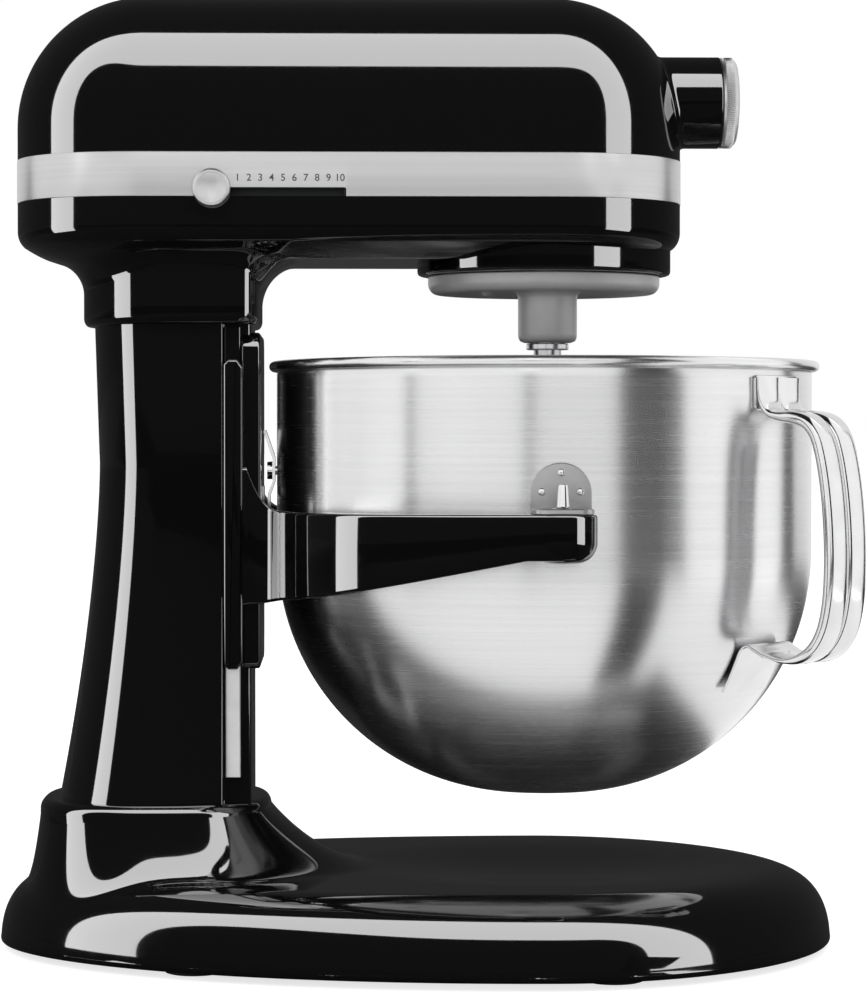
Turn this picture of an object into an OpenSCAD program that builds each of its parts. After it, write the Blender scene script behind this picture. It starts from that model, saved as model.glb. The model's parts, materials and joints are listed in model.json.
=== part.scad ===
// Bowl-lift stand mixer: cast base and column, head with motor and planetary drive,
// sliding bowl support, steel bowl with a strap handle. Millimetres, +Z up, +X to the front.

/* [Head] */
// Height of the top of the head above the table
head_top_z = 420.5; // [416:0.5:426]
// Radius of the head's rounded ends, seen from the side
head_r = 58; // [56:0.1:59]
// Half width of the head at the trim band
head_w = 61; // [60:0.5:63]
// X of the head's rearmost point
head_rear_x = -176.6; // [-180:0.5:-175]
// Reach of the head's nose past the bowl's axis
head_nose = 60.5; // [59:0.5:63]
// Wall of the head castings
head_wall = 3.5; // [3:0.1:4]
// Height of the trim band
band_h = 19.2; // [18:0.1:20]
// Height of the band's lower edge above the table
band_z = 329; // [328:0.5:330]
// Thickness of the trim band
band_t = 1.2; // [1:0.1:1.4]
// Height of the crease under the head
crease_z = 312; // [311:0.5:313]
// Height of the head's flat underside
under_z = 303.4; // [303:0.1:305]

/* [Speed control] */
// Travel of the speed knob from off to the highest speed
speed_travel = 54; // [50:1:56]
// X of the speed knob at off
knob_x = -88.7; // [-92:0.1:-86]
// Radius of the speed knob
knob_r = 8.2; // [7:0.1:9]
// Height of the notch that the speed lever runs in
notch_h = 3.9; // [3.6:0.1:4.4]

/* [Column] */
// X of the column's front face
column_front_x = -72.5; // [-73:0.1:-72]
// Half width of the column at the top
column_w = 45; // [44:0.5:46]
// Half width of the guide block on the column's front
block_w = 38; // [37:0.5:38.5]
// Wall of the column casting
column_wall = 5; // [4:0.5:6]
// Height of the neck's lower lip
neck_z = 275; // [274:0.5:277]

/* [Base] */
// Reach of the base's front end past the bowl's axis
base_nose = 127.7; // [126:0.1:129]
// X of the base's rear end
base_rear_x = -184.6; // [-186:0.1:-183]
// How far the base reaches out past the bowl's wall on each side
base_margin = 17; // [15:0.5:19]
// Height of the deck in front of the column
deck_z = 35.8; // [35:0.2:37]
// Height of the socket's lip round the column
socket_z = 67.5; // [66:0.5:69]
// Wall of the base casting
base_wall = 4; // [3.5:0.1:5]
// Depth of the dish under the bowl
dish_depth = 4; // [2:0.5:5]
// Height of the rubber feet
foot_h = 3; // [2.5:0.5:4]
// Radius of the rubber feet
foot_r = 13; // [10:0.5:15]

/* [Bowl] */
// Gap between the column's front face and the back of the bowl
bowl_gap = 10.5; // [10:0.1:11]
// Outer radius of the bowl's wall
bowl_r = 119; // [118:0.1:119.5]
// Height of the rim's top, with the bowl raised
rim_z = 259.8; // [258:0.1:261]
// Depth of the bowl on the outside
bowl_h = 191.4; // [189:0.2:193]
// Wall of the bowl
bowl_t = 1.2; // [1:0.1:1.5]
// Radius of the rolled rim's bead
bead_r = 2.3; // [2:0.1:2.6]
// Azimuth of the bowl's handle
handle_az = -37; // [-42:1:-32]
// Width of the handle's strap
strap_w = 30; // [26:0.5:32]

/* [Bowl support] */
// Travel of the bowl support, from raised down to lowered
lift_travel = 34; // [28:1:34]
// Height of the lower end of the support's slide, raised
slide_z0 = 125.6; // [124:0.1:127]
// Height of the upper end of the support's slide, raised
slide_z1 = 259.7; // [257:0.1:262]
// Height of the arms' top faces, raised
arm_z = 194.5; // [193:0.1:196]
// Distance of the arms' centre lines outside the bowl's wall
arm_gap = 15; // [14.5:0.1:16]
// Thickness of the arms
arm_t = 15; // [13:0.5:16]
// Radius of the cups at the arms' ends
cup_r = 14.2; // [13.5:0.1:14.5]
// Radius of the crank that lifts the support
crank_r = 30; // [28:0.5:30.5]

/* [Drive] */
// Depth of the attachment hub's axis below the head's top
hub_drop = 45.1; // [43:0.1:46]
// Radius of the attachment hub's barrel
hub_r = 20.3; // [19:0.1:20.5]
// Radius of the hub's bore for attachments
hub_bore_r = 12.8; // [12:0.1:13.5]
// Offset of the beater shaft from the planetary axis
beater_offset = 28; // [27:0.5:29]
// Radius of the beater shaft
beater_r = 6.1; // [5.8:0.1:6.4]
// Radius of the planetary cover
planet_r = 51.6; // [50:0.2:52]
// Teeth of the planet pinion
planet_teeth = 16; // [16:1:16]
// Teeth of the crown gear
crown_teeth = 34; // [34:1:34]
// Teeth of the pinions that run on the crown gear
pinion_teeth = 12; // [12:1:12]
// Outer radius of the motor's can
motor_r = 37; // [34:0.5:38]

/* [Hidden] */

$fn = 64;
eps = 0.01;           // overshoot of a cut past the face it opens
fit = 0.05;           // radial running clearance of shafts
gap = 0.3;            // clearance between pieces that don't touch
gloss_black = "#101012";
steel = "#c4c4c6";
dark_steel = "#6c6e72";

// Places that follow from the sizes above
axis_x = column_front_x + bowl_gap + bowl_r;   // X of the bowl's and the planetary drive's axis
head_front_x = axis_x + head_nose;
base_front_x = axis_x + base_nose;
base_b = bowl_r + base_margin;
arm_y = bowl_r + arm_gap;
hub_z = head_top_z - hub_drop;

// ---- Shared shape functions ----

function spow(v, p) = sign(v) * pow(abs(v), p);
function clamp01(v) = min(1, max(0, v));

// A point of a superellipse about (cx, 0), at the parameter angle a
function super_pt(cx, rx, ry, n, a) = [cx + rx * spow(cos(a), 2 / n), ry * spow(sin(a), 2 / n)];

// An outline with a long straight middle between two rounded ends
function capsule_pt(x0, x1, rx, ry, n, a) =
    super_pt(cos(a) >= 0 ? x1 : x0, rx, ry, n, a);

// A polyhedron through rings of points that all have the same number of points
module loft(rings) {
    n = len(rings[0]);
    m = len(rings);
    points = [for (r = rings) for (p = r) p];
    sides = [for (j = [0:m - 2]) for (i = [0:n - 1])
        [j * n + i, (j + 1) * n + i, (j + 1) * n + (i + 1) % n, j * n + (i + 1) % n]];
    polyhedron(points, concat(sides,
        [[for (i = [0:n - 1]) i], [for (i = [0:n - 1]) m * n - 1 - i]]), convexity = 8);
}

module at_axis() { translate([axis_x, 0, 0]) children(); }
module mirror_y() { children(); mirror([0, 1, 0]) children(); }

// A ring about Z
module tube(r0, r1, h) {
    difference() {
        cylinder(r = r1, h = h);
        translate([0, 0, -1]) cylinder(r = r0, h = h + 2);
    }
}

// A cylinder along +X from the point where it's placed
module x_rod(r, h) { rotate([0, 90, 0]) cylinder(r = r, h = h); }
module x_tube(r0, r1, h) { rotate([0, 90, 0]) tube(r0, r1, h); }

// A straight spur gear's outline, with trapezoid teeth, mod = module in mm
function gear_points(teeth, mod, thin) = [for (i = [0:teeth - 1])
    let(p = 360 / teeth, rp = teeth * mod / 2, w = p / 4 - thin,
        ra = rp + 0.9 * mod, rd = rp - 1.15 * mod)
    each [polar(rd, i * p - 1.5 * w), polar(ra, i * p - 0.55 * w),
        polar(ra, i * p + 0.55 * w), polar(rd, i * p + 1.5 * w)]];
function polar(r, a) = [r * cos(a), r * sin(a)];

// ---- Head shells ----

head_n = 2.5;                              // fullness of the head's cross section
head_cz = head_top_z - head_r;             // height of the end spheres' centre
head_x0 = head_rear_x + head_r;            // centre of the rear end
head_x1 = head_front_x - head_r;           // centre of the front end
band_top = band_z + band_h;
split_z = band_z + band_h / 2;             // where the two castings meet, behind the band
head_steps = 64;
angles = [for (i = [0:head_steps - 1]) 360 * (i + 0.5) / head_steps];

// Outline of the head at height z, brought in by inset
function head_ring(z, inset) = let(
    t = clamp01((z - head_cz) / (head_r - inset)),
    rx = (head_r - inset) * sqrt(1 - t * t),
    ry = (head_w - inset) * pow(1 - pow(t, head_n), 1 / head_n))
    [for (a = angles) concat(capsule_pt(head_x0, head_x1, rx, ry, 2.15, a), z)];

cover_levels = [0, 0.14, 0.27, 0.4, 0.52, 0.63, 0.73, 0.82, 0.89, 0.945, 0.98, 0.997];

module head_dome(inset) {
    loft(concat([head_ring(head_cz - eps, inset)],
        [for (t = cover_levels) head_ring(head_cz + t * (head_r - inset), inset)]));
}

module top_cover() {
    color(gloss_black) difference() {
        union() {
            head_dome(0);
            loft([head_ring(band_top, 0), head_ring(head_cz, 0)]);
            loft([head_ring(split_z + gap, band_t + 0.1), head_ring(band_top + eps, band_t + 0.1)]);
        }
        difference() {
            union() {
                head_dome(head_wall);
                loft([head_ring(split_z, head_wall), head_ring(head_cz, head_wall)]);
            }
            at_posts() translate([0, 0, split_z])
                cylinder(r = post_r, h = head_top_z - split_z, $fn = 32);
        }
        at_posts() translate([0, 0, split_z - 1]) cylinder(r = 2, h = 20, $fn = 32);
        translate([head_x1, 0, hub_z]) x_rod(hub_r + 0.1, 2 * head_r);
    }
}

// Neck: the collar under the head that takes the column
neck_x0 = column_front_x - 75;             // rear of the neck
neck_x1 = column_front_x + 3.5;            // front of the neck
neck_cx = (neck_x0 + neck_x1) / 2;
neck_a = (neck_x1 - neck_x0) / 2;
neck_w = column_w + 5;
neck_n = 2.8;
neck_fillet = 20;
floor_z = neck_z + 6;                      // where the column's top meets the neck's floor
floor_t = 6;

function level(x, y, cx, a, b, n) = pow(pow(abs(x - cx) / a, n) + pow(abs(y) / b, n), 1 / n);

// Height of the head's underside at a point: it falls from the crease to the flat
function under_height(p) = let(
    cx = min(head_x1, max(head_x0, p[0])),
    q = level(p[0], p[1], cx, head_r, head_w, 2.15),
    u = clamp01((1 - q) * head_r / 18),
    qn = level(p[0], p[1], neck_cx, neck_a, neck_w, neck_n),
    d = clamp01((qn - 1) * norm([p[0] - neck_cx, p[1]]) / max(qn, 0.1) / neck_fillet),
    drop = neck_fillet * (1 - sqrt(1 - pow(1 - d, 2))))
    under_z + (crease_z - under_z) * pow(1 - u, 1.5) - drop;

function neck_ring(z, grow) = [for (a = angles)
    concat(super_pt(neck_cx, neck_a + grow, neck_w + grow, neck_n, a), z)];

function between(o, i, s) = [for (k = [0:len(o) - 1]) [
    o[k][0] + (i[k][0] - o[k][0]) * s, o[k][1] + (i[k][1] - o[k][1]) * s]];

under_steps = [0.03, 0.08, 0.15, 0.25, 0.38, 0.52, 0.66, 0.77, 0.86, 0.93, 0.97, 0.99];

// The housing's outer skin from the split down to the neck's lip; inset makes the inner one
module housing_skin(inset) {
    o = head_ring(band_z, inset);
    i = neck_ring(0, -inset);
    bottom = inset == 0 ? neck_z : floor_z + floor_t;
    loft(concat(
        [neck_ring(bottom, -inset - (inset == 0 ? 2.5 : 0)),
         neck_ring(bottom + 1.8, -inset), neck_ring(under_z - neck_fillet + 1, -inset)],
        [for (k = [len(under_steps) - 1:-1:0]) [for (p = between(o, i, under_steps[k]))
            [p[0], p[1], max(under_height(p) + inset, bottom + 2.2)]]],
        [head_ring(crease_z + 1.5, inset + 0.6), head_ring(crease_z + 5, inset),
         head_ring(band_z, inset)]));
}

module head_housing() {
    color(gloss_black) difference() {
        union() {
            housing_skin(0);
            loft([head_ring(band_z - 1, band_t + 0.1), head_ring(split_z, band_t + 0.1)]);
        }
        difference() {
            union() {
                housing_skin(head_wall);
                loft([head_ring(band_z - eps, head_wall), head_ring(split_z + 1, head_wall)]);
            }
            at_posts() translate([0, 0, post_z])
                cylinder(r = post_r, h = split_z - post_z - eps, $fn = 32);
        }
        at_posts() translate([0, 0, post_z]) cylinder(r = 2.1, h = split_z - post_z + 1, $fn = 32);
        at_posts() translate([0, 0, post_z]) cylinder(r = 3.8, h = screw_head_z - post_z, $fn = 32);
        at_axis() translate([0, 0, neck_z]) cylinder(r = ring_house_r + 0.1, h = crease_z - neck_z + 3);
        translate([0, 0, neck_z - 1]) linear_extrude(floor_z - neck_z + 1)
            polygon(column_outline(floor_z, gap));
        neck_bolt_places() translate([0, 0, neck_z]) cylinder(r = bolt_r + 0.2, h = 40);
        translate([notch_x0 - 1, -head_w - 5, band_z - eps]) cube([notch_len + 2, 12, notch_h + eps]);
    }
}

// Trim band, with the notch for the speed lever
notch_x0 = knob_x - 3.5;
notch_len = speed_travel + 7;
notch_top = band_z + notch_h;

module trim_band() {
    color("#b9babc") difference() {
        translate([0, 0, band_z + 0.05]) linear_extrude(band_h - 0.1) difference() {
            polygon([for (p = head_ring(band_z, -0.25)) [p[0], p[1]]]);
            polygon([for (p = head_ring(band_z, band_t)) [p[0], p[1]]]);
        }
        translate([notch_x0, -head_w - 5, band_z - 1]) cube([notch_len, 12, notch_h + 1]);
    }
}

// ---- Speed control ----

wall_y = -head_w + head_wall;              // inner face of the head's near side wall
liner_t = 1.4;
lever_z = band_z + notch_h / 2;
lever_r = 1.5;
board_y = wall_y + 8;

module slot_liner() {
    color("#1a1a1c") difference() {
        union() {
            translate([notch_x0 - 8, wall_y + 0.1, lever_z - 8]) cube([notch_len + 16, liner_t, 16]);
            for (x = [notch_x0 - 4, notch_x0 + notch_len + 4])
                translate([x, wall_y + liner_t, lever_z]) rotate([-90, 0, 0])
                    cylinder(r = 2.5, h = board_y - wall_y - liner_t);
        }
        translate([notch_x0 + 1, wall_y - 2, lever_z - lever_r - gap])
            cube([notch_len - 2, liner_t + 4, 2 * (lever_r + gap)]);
    }
}

knob_y = -head_w - 0.8;                    // back face of the speed knob
knob_t = 6;

module speed_knob() {
    color("#c9cacc") translate([knob_x, knob_y, band_z + notch_h - 0.4]) rotate([90, 0, 0])
        rotate_extrude() polygon([[0, 0], [knob_r - 1, 0], [knob_r, 1], [knob_r, knob_t - 1.2],
            [knob_r - 1.2, knob_t], [0, knob_t]]);
}

module speed_slider() {
    color(dark_steel) union() {
        translate([knob_x, knob_y, lever_z]) rotate([-90, 0, 0])
            cylinder(r = lever_r, h = wall_y - knob_y + liner_t + 2.5, $fn = 32);
        translate([knob_x - 4, wall_y + liner_t + 0.4, lever_z - 4]) cube([8, 4, 8]);
    }
}

module control_board() {
    color("#1f5a3a") union() {
        translate([notch_x0 - 8, board_y, lever_z - 9]) cube([notch_len + 16, 1.6, 34]);
        translate([notch_x0, board_y + 1.6, lever_z + 12]) cube([12, 4, 10]);
        translate([notch_x0 + 20, board_y + 1.6, lever_z + 10]) cube([20, 3, 8]);
    }
}

// ---- Column ----

block_x = column_front_x - 13.5;           // rear face of the guide block's free part
column_foot_z = socket_z - 12;             // underside of the column, in the base's socket
column_n = 2.6;

// The column is slimmest at its waist, and grows wider and deeper down to its foot
column_depth = 68.1;                       // from the front face to the rear face at the waist
column_h = neck_z - socket_z;
waist_z = socket_z + 0.71 * column_h;
foot_depth = 17.7;                         // how much deeper the foot is than the waist
foot_spread = 8;                           // how much wider the foot is on each side
function below(z, top) = clamp01((top - z) / (top - socket_z));
function column_rear(z) = column_front_x - column_depth - foot_depth * pow(below(z, waist_z), 1.6)
    - 2 * clamp01((z - waist_z) / (neck_z - waist_z));
function column_half(z) = column_w + foot_spread * pow(below(z, waist_z - 15), 2);

// Outline of the column at height z, grown by grow: a body behind and a guide block in front
function column_outline(z, grow) = let(
    x0 = column_rear(z) - grow, x1 = block_x + 1.4 + grow, cx = (x0 + x1) / 2,
    body = [for (i = [0:47]) let(a = 360 * (i + 0.5) / 48)
        if (a > 50 && a < 310) super_pt(cx, (x1 - x0) / 2, column_half(z) + grow, column_n, a)])
    concat(body, [[x1, -block_w - grow], [column_front_x + grow, -block_w - grow],
        [column_front_x + grow, block_w + grow], [x1, block_w + grow]]);

function column_ring(z, grow) = [for (p = column_outline(z, grow)) concat(p, z)];

column_levels = [for (k = [0:8]) column_foot_z + k * (floor_z - column_foot_z) / 8];
bolt_r = 4;

bolt_x0 = column_front_x - 53.5;           // rear and front bolts of the column
bolt_x1 = column_front_x - 23.5;
bolt_y = column_w - 19;
slot_end = 11;                             // how far the yoke's slot runs past its travel

module neck_bolt_places() {
    for (x = [bolt_x0, bolt_x1], y = [-bolt_y, bolt_y]) translate([x, y, 0]) children();
}

module column() {
    color(gloss_black) difference() {
        loft([for (z = column_levels) column_ring(z, 0)]);
        loft([for (k = [0:8]) let(z = column_foot_z + 8 + k * (floor_z - column_foot_z - 16) / 8)
            column_ring(z, -column_wall)]);
        translate([block_x - 20, yoke_y - gap, yoke_z - lift_travel - slot_end])
            cube([60, yoke_t + 2 * gap, lift_travel + 2 * slot_end]);
        translate([lift_x, bush_y0 - 10, lift_z]) rotate([-90, 0, 0]) cylinder(r = bush_r, h = 60);
        neck_bolt_places() translate([0, 0, floor_z - 20]) cylinder(r = bolt_r, h = 40);
        neck_bolt_places() translate([0, 0, column_foot_z - 20]) cylinder(r = bolt_r, h = 40);
    }
}

module neck_bolts() {
    color(dark_steel) neck_bolt_places() {
        translate([0, 0, floor_z - 7.5]) cylinder(r = bolt_r, h = floor_t + 8, $fn = 32);
        translate([0, 0, floor_z + floor_t]) cylinder(r = 7, h = 5, $fn = 6);
    }
}

module column_bolts() {
    color(dark_steel) neck_bolt_places() {
        translate([0, 0, socket_floor_z - 1])
            cylinder(r = bolt_r, h = column_foot_z - socket_floor_z + 8.5, $fn = 32);
        translate([0, 0, socket_floor_z - 5]) cylinder(r = 7, h = 5, $fn = 6);
    }
}

rail_t = 3;                                // thickness of a guide rail across the block's side
rail_x0 = block_x + 1.4 + 0.6;

module guide_rails() {
    color("#a9abae") mirror_y()
        translate([rail_x0, -block_w - rail_t, socket_z + 5]) cube([7, rail_t, neck_z - socket_z - 6]);
}

// ---- Base ----

socket_x0 = column_rear(socket_z) - 8.3;   // rear of the socket's lip
socket_x1 = column_front_x + 8;
socket_cx = (socket_x0 + socket_x1) / 2;
socket_a = (socket_x1 - socket_x0) / 2;
socket_b = column_w + foot_spread + 5;
lip_h = 5;                                 // height of the socket's rounded lip
socket_n = 2.6;
socket_floor_z = column_foot_z - 8;
base_n_front = 1.9;
base_n_rear = 2;
base_round = 36;                           // distance over which the deck's edge rounds off
base_steps = 72;
base_angles = [for (i = [0:base_steps - 1]) 360 * (i + 0.5) / base_steps];

function base_reach_x(front) = front ? base_front_x - axis_x : axis_x - base_rear_x;
function base_fullness(front) = front ? base_n_front : base_n_rear;
function base_outline(inset) = [for (a = base_angles) let(front = cos(a) >= 0)
    super_pt(axis_x, base_reach_x(front) - inset, base_b - inset, base_fullness(front), a)];
function socket_outline(grow) = [for (a = base_angles)
    super_pt(socket_cx, socket_a + grow, socket_b + grow, socket_n, a)];

// Height of the base's upper surface: rounded edge, shallow dish and flare up to the socket
function base_height(p) = let(
    front = p[0] >= axis_x,
    q = level(p[0], p[1], axis_x, base_reach_x(front), base_b, base_fullness(front)),
    e = clamp01((1 - q) * norm([p[0] - axis_x, p[1]]) / max(q, 0.05) / base_round),
    edge = deck_z * pow(1 - pow(1 - e, 2.6), 1 / 2.6),
    s = level(p[0], p[1], socket_cx, socket_a, socket_b, socket_n),
    v = [p[0] - socket_cx, p[1]],
    reach = 7 + 43 * pow((1 + v[0] / max(norm(v), 1)) / 2, 2.2),
    d = clamp01((s - 1) * norm(v) / max(s, 0.1) / reach),
    b = clamp01(pow((p[0] - axis_x) / 96, 2) + pow(p[1] / 84, 2)))
    edge + (socket_z - lip_h - deck_z) * pow(1 - d, 2) - dish_depth * pow(1 - b, 2);

base_reach = [0.004, 0.016, 0.04, 0.08, 0.14, 0.22, 0.32, 0.44, 0.56, 0.67, 0.77, 0.85, 0.92, 0.97, 1];

// The lip's roundness, as distances inside the socket's outline and below its top
lip_steps = [[0.5, 2.7], [1.4, 1.2], [2.7, 0.35], [4.3, 0]];

module base_skin(inset, top) {
    o = base_outline(inset);
    i = socket_outline(0);
    loft(concat(
        [[for (p = o) [p[0], p[1], foot_h - (inset > 0 ? 1 : 0)]],
         [for (p = o) [p[0], p[1], foot_h + 4]]],
        [for (s = base_reach) [for (p = between(o, i, s))
            [p[0], p[1], min(top, max(base_height(p) - inset, foot_h + 4.5 + 4 * s))]]],
        inset > 0 ? [] : [for (l = lip_steps) [for (p = socket_outline(-l[0]))
            [p[0], p[1], socket_z - l[1]]]]));
}

module base_casting() {
    color(gloss_black) difference() {
        base_skin(0, socket_z);
        base_skin(base_wall, socket_floor_z);
        translate([0, 0, column_foot_z]) linear_extrude(socket_z)
            polygon(column_outline(column_foot_z + 6, gap));
        neck_bolt_places() translate([0, 0, foot_h]) cylinder(r = bolt_r + 0.2, h = socket_z);
    }
}

plate_t = 2;

module base_cover_plate() {
    color("#2a2b2d") translate([0, 0, foot_h]) linear_extrude(plate_t)
        polygon(base_outline(base_wall + gap));
}

foot_margin = 26.7;                        // from a foot's centre to the end of the base

module foot_places() {
    translate([base_rear_x + foot_margin, 0, 0]) children();
    translate([base_front_x - foot_margin, 0, 0]) children();
    mirror_y() {
        translate([axis_x - 1.28 * bowl_r, base_b - 56, 0]) children();
        translate([axis_x + 0.19 * bowl_r, base_b - 28, 0]) children();
    }
}

module rubber_feet() {
    color("#3a3a3c") foot_places() rotate_extrude()
        polygon([[0, 0], [foot_r - 1, 0], [foot_r, 1], [foot_r, foot_h], [0, foot_h]]);
}

// ---- Bowl support and lift ----

slide_y0 = block_w + rail_t + gap;         // inner face of the slide's cheeks
slide_y1 = slide_y0 + 4.7;                 // outer face of the slide's cheeks
slide_x0 = block_x + 1.8;                  // rear edge of the cheeks
slide_x1 = column_front_x + 4;             // front of the slide
bevel = 5;
plate_z1 = slide_z1 + 12;                  // top of the slide's front plate
root_z = slide_z0 + 28.4;                  // underside of the arms at the slide
arm_rise = 21.5;                           // how much higher the underside is at the cups
bowl_clear_r = bowl_r + 3;                 // the support stays outside this radius

// A point of an arm's plan, as shares of the way from the slide's corner to the cup
function arm_pt(p) = [slide_x1 + p[0] * (axis_x - slide_x1), -slide_y1 - p[1] * (arm_y - slide_y1)];

// Half outline of one arm's plan, on the near side: outer edge, then inner edge
arm_outer = concat([[slide_x0, -slide_y1]],
    [for (p = [[0.036, 0.034], [0.068, 0.114], [0.1, 0.341], [0.163, 0.636], [0.275, 0.864],
        [0.434, 1], [0.626, 1.0625]]) arm_pt(p)],
    [[axis_x, -arm_y - arm_t / 2]]);
arm_inner = concat([[axis_x, -arm_y + arm_t / 2]],
    [for (p = [[0.641, 0.898], [0.482, 0.83], [0.355, 0.705], [0.267, 0.523], [0.211, 0.295],
        [0.147, 0.068]]) arm_pt(p)],
    [[slide_x1 + 8.5, -slide_y0], [slide_x0, -slide_y0]]);

// Side view of an arm: level top, underside rising to the cup
module arm_side() {
    rotate([90, 0, 0]) linear_extrude(3 * arm_y, center = true) polygon([
        [slide_x0 - 1, root_z - 3], [slide_x1 - 1.5, root_z], [axis_x - 11, root_z + arm_rise],
        [axis_x + 1, root_z + arm_rise],
        [axis_x + 1, arm_z], [slide_x1 + 17, arm_z], [slide_x1 + 8, arm_z + 6], [slide_x1, arm_z + 20],
        [slide_x0 - 1, arm_z + 20]]);
}

module cheek() {
    translate([0, -slide_y0, 0]) rotate([90, 0, 0]) linear_extrude(slide_y1 - slide_y0) polygon([
        [slide_x0, slide_z0 + 2], [slide_x0 + 3, slide_z0], [slide_x1 - bevel, slide_z0],
        [slide_x1, slide_z0 + bevel], [slide_x1, slide_z1 - bevel], [slide_x1 - bevel, slide_z1],
        [slide_x0 + 3, slide_z1], [slide_x0, slide_z1 - 2]]);
}

module cup() {
    translate([axis_x, -arm_y + 4.5, 0]) rotate_extrude() polygon(concat([[0, arm_z], [0, arm_z - 20.5]],
        [for (a = [-60:15:-15]) [(cup_r - 1) * cos(a), arm_z - 7 + 13.5 * sin(a)]],
        [[cup_r, arm_z - 6], [cup_r, arm_z - 1.5], [cup_r - 1.5, arm_z]]));
}

module bowl_support() {
    color(gloss_black) difference() {
        union() {
            mirror_y() {
                cheek();
                intersection() {
                    translate([0, 0, root_z - 5]) linear_extrude(arm_z - root_z + 30)
                        polygon(concat(arm_outer, arm_inner));
                    arm_side();
                }
                cup();
            }
            rotate([90, 0, 0]) linear_extrude(2 * slide_y1, center = true) polygon([
                [column_front_x + gap, slide_z0], [slide_x1 - 2.6, slide_z0], [slide_x1, slide_z0 + 5],
                [slide_x1, plate_z1 - 3], [slide_x1 - 2.6, plate_z1], [column_front_x + gap, plate_z1]]);
        }
        at_axis() translate([0, 0, slide_z0 - 1])
            cylinder(r = bowl_clear_r, h = plate_z1 - slide_z0 + 2, $fn = 128);
        translate([column_front_x - 1, yoke_y, yoke_z - 7]) cube([3, yoke_t, 14]);
        yoke_screw_places() translate([-5, 0, 0]) x_rod(1.5, 20);
        mirror_y() translate([axis_x, -pin_y, arm_z - 8]) cylinder(r = pin_shank_r, h = 20);
    }
}

pin_y = arm_y - 2;
pin_shank_r = 3;
pin_base_r = 4.9;
pin_h = 12.5;

module locating_pins() {
    color(steel) mirror_y() translate([axis_x, -pin_y, 0]) rotate_extrude() polygon([[0, arm_z - 8],
        [pin_shank_r, arm_z - 8], [pin_shank_r, arm_z], [pin_base_r, arm_z], [pin_base_r, arm_z + 2.5],
        [2.4, arm_z + pin_h - 1], [1.4, arm_z + pin_h], [0, arm_z + pin_h]]);
}

// Spring catch on the slide that takes the latch on the bowl's back
latch_w = 14;
latch_x = axis_x - bowl_r - 3.4;           // middle of the latch plate
catch_z = arm_z - 4;

module support_catch() {
    color(steel) translate([0, -latch_w / 2 - 2, 0]) rotate([90, 0, 0]) mirror([0, 0, 1])
        linear_extrude(latch_w + 4) polygon([[slide_x1, catch_z - 8], [latch_x + 2, catch_z - 8],
            [latch_x + 2, catch_z + 4], [latch_x + 1, catch_z + 4], [latch_x + 1, catch_z - 7],
            [slide_x1 + 1, catch_z - 7], [slide_x1 + 1, catch_z + 14], [slide_x1, catch_z + 14]]);
}

// Yoke: a plate behind the slide, with a level slot that the crank's pin drives
lift_x = column_front_x - 27.5;            // X of the lift shaft
lift_half_turn = asin(lift_travel / 2 / crank_r);
yoke_drop = 30;                            // depth of the slot below the arms' top faces
yoke_z = arm_z - yoke_drop;                // height of the slot, raised
lift_z = yoke_z - lift_travel / 2;         // height of the lift shaft
yoke_y = 0;
yoke_t = 5;
crank_pin_r = 3;
yoke_slot = crank_pin_r + 0.6;             // half height of the slot: the pin's path is an arc

module yoke_screw_places() {
    for (z = [-4, 4]) translate([slide_x1, yoke_y + yoke_t / 2, yoke_z + z]) children();
}

module lift_yoke() {
    color(steel) difference() {
        translate([lift_x - crank_r - 6, yoke_y, yoke_z - 7])
            cube([column_front_x + 2 - lift_x + crank_r + 6, yoke_t, 14]);
        translate([lift_x - crank_r - yoke_slot, yoke_y - 1, yoke_z - yoke_slot])
            cube([crank_r * (1 - cos(lift_half_turn)) + 2 * yoke_slot + 1, yoke_t + 2, 2 * yoke_slot]);
        yoke_screw_places() translate([-12, 0, 0]) x_rod(1.5, 20);
    }
}

module yoke_screws() {
    color(steel) yoke_screw_places() {
        translate([-8, 0, 0]) x_rod(1.5, 8, $fn = 32);
        x_rod(2.8, 1.6, $fn = 32);
    }
}

bush_r = 9;
lift_shaft_r = 6;
bush_y0 = column_half(lift_z) - 12;        // inner end of the bush in the column's side
bush_y1 = column_half(lift_z) + 4;
crank_y = yoke_y + yoke_t + 1;

module lift_shaft() {
    color(steel) translate([lift_x, crank_y, lift_z]) rotate([-90, 0, 0])
        cylinder(r = lift_shaft_r, h = bush_y1 + 10 - crank_y);
}

module shaft_bush() {
    color("#b08d57") translate([lift_x, bush_y0, lift_z]) rotate([-90, 0, 0]) {
        tube(lift_shaft_r + fit, bush_r, bush_y1 - bush_y0 - 3);
        translate([0, 0, bush_y1 - bush_y0 - 3]) tube(lift_shaft_r + fit, bush_r + 3, 3);
    }
}

module lift_crank() {
    color(dark_steel) translate([lift_x, crank_y, lift_z]) rotate([-90, 0, 0])
        rotate([0, 0, lift_half_turn]) difference() {
            union() {
                cylinder(r = 11, h = 8);
                translate([-crank_r, -5, 0]) cube([crank_r, 10, 8]);
                translate([-crank_r, 0, 0]) cylinder(r = 5, h = 8);
                translate([-crank_r, 0, -yoke_t - 1.5]) cylinder(r = crank_pin_r, h = yoke_t + 2);
            }
            translate([0, 0, -1]) cylinder(r = lift_shaft_r + fit, h = 20);
        }
}

// Lever on the far side: upright when the bowl is raised
lever_y = bush_y1 + 0.5;
lever_len = 92;

module lift_lever() {
    color(gloss_black) translate([lift_x, lever_y, lift_z]) rotate([-90, 0, 0]) difference() {
        union() {
            cylinder(r = 13, h = 9.5);
            linear_extrude(9.5) polygon([[-9, 0], [9, 0], [6, -lever_len], [-6, -lever_len]]);
            translate([0, -lever_len, 0]) cylinder(r = 6, h = 9.5);
        }
        translate([0, 0, -1]) cylinder(r = lift_shaft_r, h = 20);
        translate([0, -lever_len, -1]) cylinder(r = 3, h = 20);
    }
}

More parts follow.
